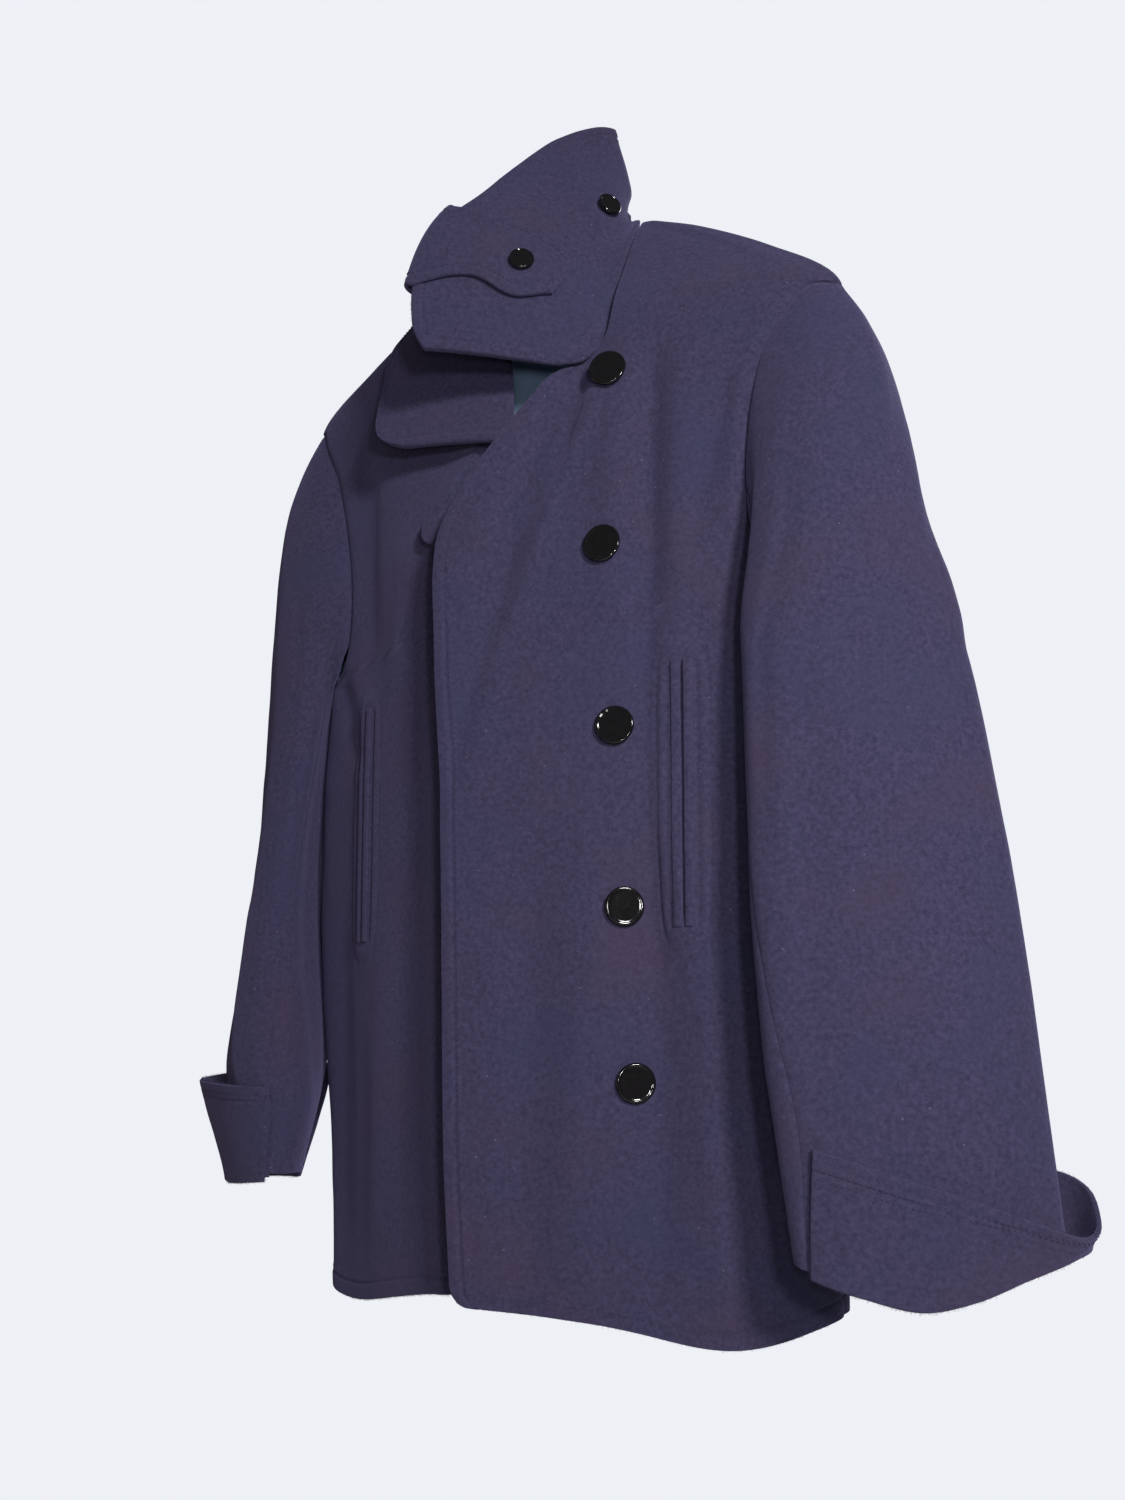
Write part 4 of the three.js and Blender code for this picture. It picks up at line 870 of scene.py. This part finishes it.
# Collar
# Ribs of a collar piece: a point on its seam or fold, one on its free edge, how far the cloth
# between them bellies out, and how far it steps in just over the seam.
standingRibs = rowsOf(
    "at sx sy sz ex ey ez belly foot",
    (-4, -58, -45, -66, -66, -48, -4, 2, 0), (-3, -36, -31, -57, -40, -38, 16, 2, 0),
    (-2, 0, -27.5, -54, -4, -33, 27, 2, 1), (-1, 38, -33, -58, 20, -33, 33, 4, 5),
    (0, 60, -45, -66, 37, -41, 26, 1.5, 10), (1, 68, -58, -72, 27, -57, 21, -0.5, 10),
    (2, 69, -76, -98, 3, -77, 6, 4, 6), (3, 67, -92, -132, -13, -104, -25, 3, 3),
    (4, 65, -103, -164, -26, -131, -59, 3, 1), (5, 62, -112, -186, -46, -158, -95, 4, 0),
    (6, 49, -121, -203, -57, -173, -145, 4, 0), (7, 34, -127, -209, -51, -179, -196, 3, 0),
)
wingRightRibs = rowsOf(
    "at sx sy sz ex ey ez belly foot",
    (0, -108, -135, -240, -3, -126, -254, 2, 0), (1, -122, -131, -220, -6, -119, -230, 4, 0),
    (2, -125, -121, -186, -13, -109, -191, 6, 0), (3, -125, -110, -150, -27, -97, -146, 8, 0),
    (4, -120, -94, -124, -50, -81, -98, 9, 0), (5, -106, -78, -100, -60, -65, -61, 8, 0),
)


def ribPoint(ribs, u, v):
    # straight from the seam (v 0) to the free edge (v 1), bellied out by a parabola and
    # pushed in over the seam by a bell curve
    u, v = np.broadcast_arrays(np.asarray(u, float), np.asarray(v, float))
    rib, later = readTable(ribs, u, "at"), readTable(ribs, u + 0.05, "at")
    seam = np.stack([rib["sx"], rib["sy"], rib["sz"]], -1)
    edge = np.stack([rib["ex"], rib["ey"], rib["ez"]], -1)
    along = np.stack([later["sx"] + later["ex"], later["sy"] + later["ey"], later["sz"] + later["ez"]], -1)
    out = unit(np.cross(edge - seam, along - seam - edge))
    foot = rib["foot"] * hump(v, 0.14, 0.12) * ease(0, 0.12, v)
    return seam + (edge - seam) * v[..., None] + out * (rib["belly"] * 4 * v * (1 - v) - foot)[..., None]


def ribGrid(ribs, us, vs, corner=None):
    # from a little below the seam up to the free edge, which the corner lowers
    u, v = np.meshgrid(us, vs)
    top = 1 if corner is None else corner(u)
    return ribPoint(ribs, u, mix(-0.022, top, v))


collarLook = {"thick": 4.6, "stitch": 9.1, "outerBand": (1.0, 1.1), "innerBand": (0.6, 0.8)}


def seamSink(d):  # a standing piece sinks in over its seam
    return 2.0 * hump(d["low"], 0, 4.5)


wingLeftLook = {**collarLook, "cut": (0.30, 0.15), "area": 0.029, "replaces": ["collar_wing_left"],
                "joined": {"low": 1.6, "start": 0.6}}
grid = ribGrid(standingRibs, 0.012 + 6.988 * gridLines(235, "seam", "sewn", 2.6),
               gridLines(130, "seam", "sewn", 2.6),
               lambda u: 1 - 0.07 * np.maximum(0, (u - 6.6) / 0.4) ** 2)
d = edgeDistances(grid)
edge = nearest(d, "end", "top")
relief = handling(grid, 0.7, 60) + sewnBand(edge, collarLook["stitch"], *collarLook["outerBand"])
relief -= seamSink(d)
wingLeft = clothPiece("collarWingLeft", grid, wingLeftLook, relief,
                      -sewnBand(edge, collarLook["stitch"], *collarLook["innerBand"]))
stitchAlong(wingLeft, column=nearestLine(d, "end", collarLook["stitch"]), first=4, last=-11)
stitchAlong(wingLeft, row=nearestLine(d, "top", collarLook["stitch"]), first=4, last=-11)

collarBackLook = {**collarLook, "cut": (0.13, 0.105), "area": 0.0097, "replaces": ["collar_back"],
                  "joined": {"low": 1.6, "end": 0.6}}
grid = ribGrid(standingRibs, -4 + 3.988 * gridLines(125, "seam", "seam", 2.8),
               gridLines(85, "seam", "sewn", 2.8))
d = edgeDistances(grid)
relief = handling(grid, 0.5, 62) + sewnBand(d["top"], collarLook["stitch"], *collarLook["outerBand"])
made = clothPiece("collarBack", grid, collarBackLook, relief - seamSink(d),
                  -sewnBand(d["top"], collarLook["stitch"], *collarLook["innerBand"]))
stitchAlong(made, row=nearestLine(d, "top", collarLook["stitch"]), first=3, last=-3)

wingRightLook = {**collarLook, "cut": (0.206, 0.105), "area": 0.0163, "replaces": ["collar_wing_right"],
                 "corner": 0.8, "cornerHigh": 0.19}
vLines = 1 - gridLines(95, "seam", "sewn", 2.8)[::-1]
cornerShare = np.clip(1 - vLines / wingRightLook["cornerHigh"], 0, 1)
cornerLift = wingRightLook["corner"] * (1 - np.sqrt(1 - cornerShare ** 2))[:, None]
grid = ribPoint(wingRightRibs, mix(cornerLift, 5, gridLines(205, "sewn", "seam", 2.8)[None]),
                mix(0.012, 1, vLines[:, None]))
d = edgeDistances(grid)
relief = handling(grid, 0.5, 64)
relief += sewnBand(nearest(d, "start", "low"), collarLook["stitch"], *collarLook["outerBand"])
made = clothPiece("collarWingRight", grid, wingRightLook, relief)
stitchAlong(made, row=nearestLine(d, "low", collarLook["stitch"]), first=11, last=-3)
stitchAlong(made, column=nearestLine(d, "start", collarLook["stitch"]), first=11, last=-3)

# Throat latch
latchLook = {"thick": 2.6, "cut": (0.08, 0.20), "area": 0.0134, "replaces": ["throat_latch"],
             "over": 3.4, "inside": 0.55, "band": (8.4, 0.7, 0.9)}
latchWide = rowsOf(
    "v top low",
    (0.30, 3.75, 4.95), (0.45, 3.75, 5.45), (0.7, 4.05, 5.5), (1, 4.6, 6.05),
)


def wingNormal(u, v):
    alongU = ribPoint(standingRibs, u + 0.01, v) - ribPoint(standingRibs, u - 0.01, v)
    alongV = ribPoint(standingRibs, u, v + 0.01) - ribPoint(standingRibs, u, v - 0.01)
    return unit(np.cross(alongV, alongU))


def latchGrid(acrossLines, firstLines):
    # lies on the left wing, goes round its free edge in a half circle and comes back inside
    out = np.concatenate([mix(0.30, 0.55, firstLines), np.linspace(0.56, 1, 30)])
    turn = np.radians(np.linspace(12, 168, 14))
    back = np.linspace(1, latchLook["inside"], 20)
    v = np.concatenate([out, np.ones(14), back])
    angle = np.concatenate([np.zeros(len(out)), turn, np.full(20, np.pi)])
    wide = readTable(latchWide, v, "v")
    u = wide["top"][:, None] + (wide["low"] - wide["top"])[:, None] * acrossLines[None, :]
    vGrid = np.broadcast_to(v[:, None], u.shape)
    base = ribPoint(standingRibs, u, vGrid)
    normal = wingNormal(u, vGrid)
    over = unit(base - ribPoint(standingRibs, u, vGrid - 0.03))
    centre, radius = collarLook["thick"] / 2, collarLook["thick"] / 2 + latchLook["over"]
    return (base + normal * (-centre + radius * np.cos(angle))[:, None, None]
            + over * ((radius + 0.8) * np.sin(angle))[:, None, None])


firstLines = gridLines(40, "sewn", "seam", 2)[:22]
grid = latchGrid(gridLines(58, "sewn", "sewn", 2.2), firstLines / firstLines[-1])
d = edgeDistances(grid)
relief = handling(grid, 0.4, 66) + sewnBand(nearest(d, "start", "end", "low"), *latchLook["band"])
made = clothPiece("throatLatch", grid, latchLook, relief)
for side in ("start", "end"):
    stitchAlong(made, column=nearestLine(d, side, latchLook["band"][0]), first=10, last=-24)
stitchAlong(made, row=nearestLine(d, "low", latchLook["band"][0]), first=10, last=-10)
print("collar and latch are made")

# Sleeves
sleeveRings = {
    "left": rowsOf(
        "z frontX frontY backX backY thick",
        (-830, 203, -139, 338, -58, 22), (-736, 189, -136, 329, -56, 24),
        (-688, 182, -134, 324, -53, 26), (-600, 174, -130, 314.5, -48, 27),
        (-546, 171, -126, 307.5, -47, 27), (-480, 168, -122, 297.5, -46, 27),
        (-430, 165, -117, 288, -46, 27),
    ),
    "right": rowsOf(
        "z frontX frontY backX backY thick",
        (-790, -209, -122, -316, -33, 24), (-730, -206, -125, -306, -27, 35),
        (-690, -214, -129, -297, -18, 38), (-610, -226, -119, -292, -13, 30),
        (-540, -230, -106, -292, -14, 26), (-430, -215, -98, -289, -25, 25),
    ),
}
sleeveLook = {
    "thick": 2.6, "capZ": -430, "backSeam": 0.5, "armSeam": -0.6, "headFullness": {"left": 14, "right": 1},
    "sideGap": 0.0004, "joined": {"start": 1.4, "end": 1.4, "top": 6.5},
    "headLong": 200, "legLong": 370, "halfRound": 165,
    "closeHead": (0.19 / 0.55 + 0.09, 0.31 / 0.55 + 0.09, 31),  # first and last share, and how many
}
# Where the front seam runs round the sleeve: v 0 is the armhole, 1 the end of the head, 2 the foot.
frontSeam = {
    "left": rowsOf(
        "v share",
        (0, -0.05), (1, -0.05), (1.35, -0.005), (1.57, 0.045), (1.77, 0.085), (2, 0.06),
    ),
    "right": rowsOf(
        "v share",
        (0, -0.09), (1, -0.09), (1.43, -0.065), (1.6, -0.025), (1.74, 0), (2, 0.03),
    ),
}
# Heights of each sleeve's end, round the sleeve
sleeveFeet = {
    "left": rowsOf(
        "share z",
        (-0.1, -804), (0.05, -809), (0.15, -819), (0.22, -826), (0.28, -821), (0.35, -810),
        (0.43, -801), (0.5, -795), (0.65, -797), (0.8, -800), (0.9, -804), (1.05, -809),
    ),
    "right": rowsOf(
        "share z",
        (-0.15, -777), (-0.05, -778), (0.1, -781), (0.3, -787), (0.5, -789), (0.7, -785),
        (0.85, -779), (1, -777),
    ),
}
sleeveSides = {"left": 1, "right": -1}


def ringPoint(side, share, z):
    # an ellipse with blunt ends round the line from the ring's front edge to its back edge
    share, z = np.broadcast_arrays(np.asarray(share, float), np.asarray(z, float))
    ring = readTable(sleeveRings[side], z)
    centreX, centreY = (ring["frontX"] + ring["backX"]) / 2, (ring["frontY"] + ring["backY"]) / 2
    reachX, reachY = (ring["backX"] - ring["frontX"]) / 2, (ring["backY"] - ring["frontY"]) / 2
    long = np.hypot(reachX, reachY)
    sign = sleeveSides[side]
    outX, outY = reachY / long * sign, -reachX / long * sign
    angle = share * 2 * np.pi
    flat = np.sign(np.sin(angle)) * np.abs(np.sin(angle)) ** 0.8 * ring["thick"]
    return np.stack([centreX - reachX * np.cos(angle) + outX * flat,
                     centreY - reachY * np.cos(angle) + outY * flat, z], -1)


def armholePoint(side, share):
    # round the armhole: the height follows a sine, the column is where the panel is cut there
    angle = share * 2 * np.pi
    z = armMiddle + armHalf * np.sin(angle)
    inFront = np.cos(angle) >= 0
    if side == "left":
        u = np.where(inFront, armholeCut(z, armholes["leftFront"]),
                     body["columns"] - armholeCut(z, armholes["rear"]))
    else:
        u = np.where(inFront, body["farSide"] - armholeCut(z, armholes["rightFront"]),
                     body["farSide"] + armholeCut(z, armholes["rear"]))
    return bodyPoint(u, z)


def sleevePoint(side, share, v):
    # v from 0 to 1: a cubic that leaves the armhole outwards and bends down into the topmost
    # ring, with a swelling of the head; v from 1 to 2: down the rings to the sleeve's end
    share, v = np.broadcast_arrays(np.asarray(share, float), np.asarray(v, float))
    sign, capZ = sleeveSides[side], sleeveLook["capZ"]
    angle = share * 2 * np.pi
    up, front = np.sin(angle), np.maximum(np.cos(angle), 0)
    start, end = armholePoint(side, share), ringPoint(side, share, capZ)
    far = np.linalg.norm(start - end, axis=-1)[..., None]
    leave = unit(np.stack([sign * (0.52 + 0.11 * up), -0.08 - 0.4 * front, -0.8 - 0.04 * up], -1))
    arrive = unit(ringPoint(side, share, capZ - 40) - end)
    w = np.clip(v, 0, 1)[..., None]
    full = sleeveLook["headFullness"][side] * 6.75 * w ** 2 * (1 - w) * np.maximum(up, 0)[..., None] ** 0.5
    clear = (1 - w[..., 0]) * 1.5 * ease(-0.75, -1, up)
    head = ((2 * w ** 3 - 3 * w ** 2 + 1) * start + (w ** 3 - 2 * w ** 2 + w) * far * leave
            + (3 * w ** 2 - 2 * w ** 3) * end + (w ** 3 - w ** 2) * far * arrive
            + leave * (1 - w) * sleeveLook["armSeam"] + np.array([sign * 0.8, 0.35, 0]) * full
            + np.stack([sign * 0.8 * clear, -0.6 * ease(0, 0.3, front) * clear, 0 * clear], -1))
    foot = readTable(sleeveFeet[side], share, "share")["z"]
    leg = ringPoint(side, share, mix(capZ, foot, np.clip(v - 1, 0, 1)))
    return np.where((v <= 1)[..., None], head, leg)


# Creases of the sleeves: share round the sleeve and height at each end, width in shares
sleeveFolds = {
    "left": rowsOf(
        "topAt topZ footAt footZ width depth",
        (0.10, -300, 0.07, -560, 0.022, 2.0), (0.17, -420, 0.13, -760, 0.035, 1.8),
        (0.27, -480, 0.30, -800, 0.035, -1.6), (0.36, -330, 0.40, -620, 0.030, 2.2),
        (0.62, -360, 0.70, -640, 0.035, 3.0), (0.85, -400, 0.80, -740, 0.030, 2.4),
    ),
    "right": rowsOf(
        "topAt topZ footAt footZ width depth",
        (0.06, -330, 0.03, -560, 0.030, 2.0), (0.22, -420, 0.16, -720, 0.035, 2.2),
        (0.12, -560, 0.10, -780, 0.025, -1.6), (0.36, -330, 0.40, -620, 0.030, 2.4),
        (0.62, -400, 0.70, -640, 0.035, 2.6), (0.88, -430, 0.84, -740, 0.030, 2.0),
        (0.76, -400, 0.76, -700, 0.090, -5.5),
    ),
}


def sleeveRelief(folds, share, z):
    depth = 0
    for fold in folds:
        s = (z - fold["topZ"]) / (fold["footZ"] - fold["topZ"])
        line = mix(fold["topAt"], fold["footAt"], s)
        fade = ease(-0.15, 0.25, s) * ease(1.15, 0.7, s)
        depth = depth + fold["depth"] * fade * hump(np.mod(share - line + 0.5, 1), 0.5, fold["width"])
    return -depth


sleeveCuts = {
    "topLeft": {"cut": (0.25, 0.665), "area": 0.107}, "underLeft": {"cut": (0.32, 0.57), "area": 0.087},
    "topRight": {"cut": (0.325, 0.625), "area": 0.104}, "underRight": {"cut": (0.232, 0.55), "area": 0.057},
}
for number, side in enumerate(("left", "right")):
    for half in ("top", "under"):
        v = np.concatenate([gridLines(sleeveLook["headLong"], "seam", "seam", 4)[:-6],
                            1 + gridLines(sleeveLook["legLong"], "seam", "seam", 4.6)[6:]])[::-1][:, None]
        seam = readTable(frontSeam[side], v, "v")["share"]
        a, b = (seam, sleeveLook["backSeam"]) if half == "top" else (sleeveLook["backSeam"], 1 + seam)
        lines = gridLines(sleeveLook["halfRound"], "seam", "seam", 3.4)[None]
        if half == "top":  # close lines over the top of the head
            head = np.linspace(*sleeveLook["closeHead"])
            lines = np.concatenate([lines[lines < head[0]], head, lines[lines > head[-1]]])[None]
        share = mix(a + sleeveLook["sideGap"], b - sleeveLook["sideGap"], lines)
        if side == "left":
            share = share[:, ::-1]
        grid = sleevePoint(side, share, v)
        d = edgeDistances(grid)
        z = grid[..., 2]
        relief = handling(grid, 0.8, 80 + 4 * number + (half == "under")) * calm(d, "start", "end", "top")
        relief += sleeveRelief(sleeveFolds[side], share, z)
        relief -= seamDip(d["start"], 2.4) + seamDip(d["end"], 2.4) + seamDip(d["top"], 2.6, 0.8)
        settings = {**sleeveLook, **sleeveCuts[half + side.title()], "replaces": [f"sleeve_{half}_{side}"]}
        woolInside = (d["low"] < 25) | (nearest(d, "start", "end") < 9) | (d["top"] < 11)
        clothPiece(f"sleeve{half.title()}{side.title()}", grid, settings, relief, 0, [wool, lining],
                   woolInside)
print("sleeves are made")

# Cuffs
# Round each cuff: the height of its free edge, and how far it stands off the sleeve there
# ("lean") and at its fold ("low")
cuffRings = {
    "left": rowsOf(
        "share top lean low",
        (0.06, -735, 3.4, 3.3), (0.16, -747, 5, 3.3), (0.26, -763, 9, 3.5), (0.36, -780, 13, 4),
        (0.44, -790, 17, 8), (0.48, -784, 20, 13), (0.51, -766, 22, 16), (0.55, -757, 22, 16),
        (0.64, -753, 13, 8), (0.8, -750, 6, 4),
    ),
    "right": rowsOf(
        "share top lean low",
        (-0.08, -714, 3.4, 3.3), (0.1, -712, 5, 3.3), (0.2, -711, 10, 3.3),
        (0.3, -710, 24, 4), (0.38, -708, 33, 6), (0.44, -704, 28, 6),
        (0.5, -697, 17, 5), (0.6, -695, 5.4, 4), (0.75, -698, 5, 4),
    ),
}
cuffStart = {"left": (0.068, 0.11), "right": (0.035, 0.012)}  # first share at the fold and at the free edge
cuffLook = {"thick": 2.6, "stitches": (7.2, 11.6)}
cuffCuts = {"left": {"cut": (0.37, 0.076), "area": 0.0168}, "right": {"cut": (0.36, 0.10), "area": 0.027}}


def cuffPoint(side, share, v):
    # up from the sleeve's end; it stands off the sleeve's ring along the ring's own outward
    # direction, more and more towards the free edge where it flares
    share, v = np.broadcast_arrays(np.asarray(share, float), np.asarray(v, float))
    row = readTable(cuffRings[side], share, "share")
    fold = readTable(sleeveFeet[side], share, "share")["z"] - 3
    z = mix(fold, row["top"], v)
    along = ringPoint(side, share + 0.004, z) - ringPoint(side, share - 0.004, z)
    out = unit(np.stack([along[..., 1], -along[..., 0], 0 * z], -1)) * sleeveSides[side]
    standOff = mix(row["low"], row["lean"], np.maximum(v, 0) ** 1.3)
    return ringPoint(side, share, z) + out * standOff[..., None]


fuzzyCuffs = []
for number, side in enumerate(("left", "right")):
    v = gridLines(75, "hem", "hem", 2.6)[:, None]
    share = mix(mix(*cuffStart[side], v), cuffRings[side][-1]["share"],
                gridLines(300, "sewn", "sewn", 3)[None])
    if side == "left":
        share = share[:, ::-1]
    grid = cuffPoint(side, share, v)
    d = edgeDistances(grid)
    relief = handling(grid, 0.5, 90 + number) + sewnBand(d["top"], cuffLook["stitches"][1], 0.7, 0.8)
    relief -= 0.7 * hump(d["top"], cuffLook["stitches"][0], 1.1)
    settings = {**cuffLook, **cuffCuts[side], "replaces": [f"cuff_{side}"]}
    made = clothPiece(f"cuff{side.title()}", grid, settings, relief)
    fuzzyCuffs.append(made)
    for distance in cuffLook["stitches"]:
        stitchAlong(made, row=nearestLine(d, "top", distance), first=4, last=-4)
print("cuffs are made")

# Hanging loop
loopLook = {"thick": 1.8, "cut": (0.0112, 0.105), "area": 0.00059, "replaces": ["hanging_loop"],
            "half": 2.7, "points": 90}
loopKnots = np.array([
    [-17, -23.6, -50], [-12, -18, -33], [-8.5, -11.5, -16], [-5.6, -10.5, -9.2], [0, -10.5, -7.4],
    [5.6, -10.5, -9.2], [8.5, -11.5, -16], [12, -18, -33], [17, -23.6, -50]], float)


def smoothPath(knots, count):
    # Catmull-Rom through the knots
    t = np.linspace(0, len(knots) - 1, count)
    k = np.clip(t.astype(int), 0, len(knots) - 2)
    s = (t - k)[:, None]
    padded = np.concatenate([2 * knots[:1] - knots[1:2], knots, 2 * knots[-1:] - knots[-2:-1]])
    a, b, c, e = padded[k], padded[k + 1], padded[k + 2], padded[k + 3]
    return 0.5 * (2 * b + (c - a) * s + (2 * a - 5 * b + 4 * c - e) * s ** 2
                  + (3 * b - a - 3 * c + e) * s ** 3)


path = smoothPath(loopKnots, loopLook["points"])
along = unit(np.gradient(path, axis=0))
across = unit(np.cross(np.cross([0.0, 1, 0], along), along))
sides = np.linspace(-1, 1, 9)
grid = path[None] + across[None] * (sides * loopLook["half"])[:, None, None]
grid = grid + unit(np.cross(across, along))[None] * (loopLook["thick"] / 2)
rib = 0.25 * hump(sides, 0, 0.45)[:, None] * np.ones(loopLook["points"])
clothPiece("hangingLoop", grid, loopLook, rib)

# Buttons
buttonShape = {"size": 26, "small": 18, "sides": 72, "rings": 41, "shank": 1.4}
# Half section of a button: radius as a share of its own, height in millimetres
buttonProfile = rowsOf(
    "at r h",
    (0, 0, 0.5), (1, 0.80, 0.2), (2, 0.93, 0.7), (3, 1.0, 1.7), (4, 0.985, 2.6),
    (5, 0.93, 3.25), (6, 0.86, 3.3), (7, 0.80, 3.0), (8, 0.70, 2.9), (9, 0.40, 2.95),
    (10, 0, 3.0),
)


def lathe(profile, lines, sides, size, point, out):
    # the profile turned round the direction "out", from its foot up to its crown
    row = readTable(profile, lines, "at")
    out = unit(np.asarray(out, float))
    side = unit(np.cross([0.0, 0.0, 1.0], out))
    up = np.cross(out, side)
    turns = np.linspace(0, 2 * np.pi, sides, endpoint=False)
    spoke = side[None] * np.cos(turns)[:, None] + up[None] * np.sin(turns)[:, None]
    r = np.maximum(row["r"], 0) * size / 2
    ring = point + spoke[None] * r[1:-1, None, None] + out * row["h"][1:-1, None, None]
    ends = np.stack([point + out * row["h"][0], point + out * row["h"][-1]])
    vertices = np.concatenate([ring.reshape(-1, 3), ends])
    rings = len(lines) - 2
    first = np.arange(sides)
    after, last = np.roll(first, -1), (rings - 1) * sides
    low = np.stack([after, first, np.full(sides, rings * sides)], -1)
    high = np.stack([last + first, last + after, np.full(sides, rings * sides + 1)], -1)
    return vertices, tubeQuads(rings, sides).tolist() + low.tolist() + high.tolist()


def placeButton(name, node, size, point, out):
    lines = np.linspace(0, buttonProfile[-1]["at"], buttonShape["rings"])
    vertices, faces = lathe(buttonProfile, lines, buttonShape["sides"], size, point, out)
    piece = placePiece(name, vertices, faces, [gloss])
    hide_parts(node)


for number, (x, z) in enumerate(frontButtons, 1):
    column = frontColumn(np.array(float(x)), np.array(float(z)))
    place, out = bodyPoint(column, float(z)), bodyNormal(column, float(z))
    placeButton(f"button{number}", f"button_{number}", buttonShape["size"],
                place + out * buttonShape["shank"], out)


for name, u, v, over in (("Latch", 4.78, 0.52, 4.4), ("Collar", 2, 0.3, 1.2)):
    out = wingNormal(u, v)
    placeButton("button" + name, "button_" + name.lower(), buttonShape["small"],
                ribPoint(standingRibs, u, v) + out * over, out)
print("buttons are made")

# Topstitching
threadLook = {"pitch": 3.6, "long": 2.5, "radius": 0.33, "sides": 5}


def placeTubes(name, tubes):
    # many small closed tubes of thread in one mesh; tubes is [tube, ring, side, xyz]
    count, rings, sides = tubes.shape[:3]
    caps = np.array([np.arange(sides)[::-1], np.arange((rings - 1) * sides, rings * sides)])
    shift = (np.arange(count) * rings * sides)[:, None, None]
    quads = (tubeQuads(rings, sides)[None] + shift).reshape(-1, 4).tolist()
    ends = (caps[None] + shift).reshape(-1, sides).tolist()
    placePiece(name, tubes.reshape(-1, 3), quads + ends, [thread])
    print(name, count)


def stitchMesh(runs, look):
    # every stitch is a small spindle: circles of thread, wide in the middle and narrow at its
    # two ends, which dive into the cloth
    starts, ends, normals = [], [], []
    for points, facing in runs:
        far = lengths(points[None], 1)[0]
        at = np.arange(look["pitch"] / 2, far[-1], look["pitch"])
        starts.append(readLine(at - look["long"] / 2, far, points))
        ends.append(readLine(at + look["long"] / 2, far, points))
        normals.append(unit(readLine(at, far, facing)))
    a, b, n = np.concatenate(starts), np.concatenate(ends), np.concatenate(normals)
    side = unit(np.cross(b - a, n))
    t = np.array([0, 0.18, 0.5, 0.82, 1])
    r = look["radius"] * np.array([0.25, 0.85, 1, 0.85, 0.25])
    lift = look["radius"] * np.array([-1.2, -0.1, 0.45, -0.1, -1.2])
    turn = np.linspace(0, 2 * np.pi, look["sides"], endpoint=False)
    centre = a[:, None] + (b - a)[:, None] * t[None, :, None] + n[:, None] * lift[None, :, None]
    spoke = side[:, None] * np.cos(turn)[None, :, None] + n[:, None] * np.sin(turn)[None, :, None]
    vertices = centre[:, :, None] + spoke[:, None] * r[None, :, None, None]
    placeTubes("topstitching", vertices)


stitchMesh(stitchRuns, threadLook)

# Loose fibres of the nap: thin bent spindles that stand out along the edges
fuzzLook = {"radius": 0.085, "edgeGap": 0.42, "seed": 401}
fuzzEdges = []  # (points, outward directions) along the edges where fibres stand out


def fuzzAlong(made, row=None, column=None):
    # away from the fourth grid line in from the edge
    lines, edge = (made["outer"], row) if row is not None else (made["outer"].swapaxes(0, 1), column)
    inner = lines[4 if edge == 0 else -5]
    fuzzEdges.append((lines[edge], unit(lines[edge] - inner)))


def fibreMesh(points, directions, look):
    # each fibre is a three-sided spindle bent sideways: its middle is pushed off the straight line
    random = np.random.default_rng(look["seed"])
    count = len(points)
    stray = random.normal(0, 0.62, (count, 3))
    toward = unit(directions + stray)
    long = random.uniform(0.7, 2.3, (count, 1))
    sideways = unit(np.cross(toward, random.normal(0, 1, (count, 3))))
    bend = sideways * long * random.uniform(0.1, 0.35, (count, 1))
    t = np.array([0, 0.5, 1.0])[None, :, None]
    centre = points[:, None] + toward[:, None] * long[:, None] * t + bend[:, None] * 4 * t * (1 - t)
    side = unit(np.cross(toward, [0.31, 0.5, 0.81]))
    up = np.cross(toward, side)
    turn = np.arange(3) * 2 * np.pi / 3
    spoke = side[:, None] * np.cos(turn)[None, :, None] + up[:, None] * np.sin(turn)[None, :, None]
    width = look["radius"] * np.array([1, 0.8, 0.15])[None, :, None, None]
    placeTubes("napFibres", centre[:, :, None] + spoke[:, None] * width)


fuzzAlong(frontLeft, row=0)
fuzzAlong(frontLeft, column=-1)
fuzzAlong(frontRight, row=0)
for made in fuzzyCuffs:
    for side in ({"row": 0}, {"row": -1}, {"column": 0}, {"column": -1}):
        fuzzAlong(made, **side)
fuzzAlong(wingLeft, row=-1)
fuzzAlong(wingLeft, column=-1)
points, directions = [], []
for edge, out in fuzzEdges:
    far = lengths(edge[None], 1)[0]
    at = np.arange(0.2, far[-1], fuzzLook["edgeGap"])
    points.append(readLine(at, far, edge))
    directions.append(readLine(at, far, out))
fibreMesh(np.concatenate(points), np.concatenate(directions), fuzzLook)
print("stitches and fibres are made")

for node in ("hook_plate", "hook_arm", "hook_screw_upper", "hook_screw_lower"):
    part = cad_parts[node]
    part.data.materials.clear()
    part.data.materials.append(steel)
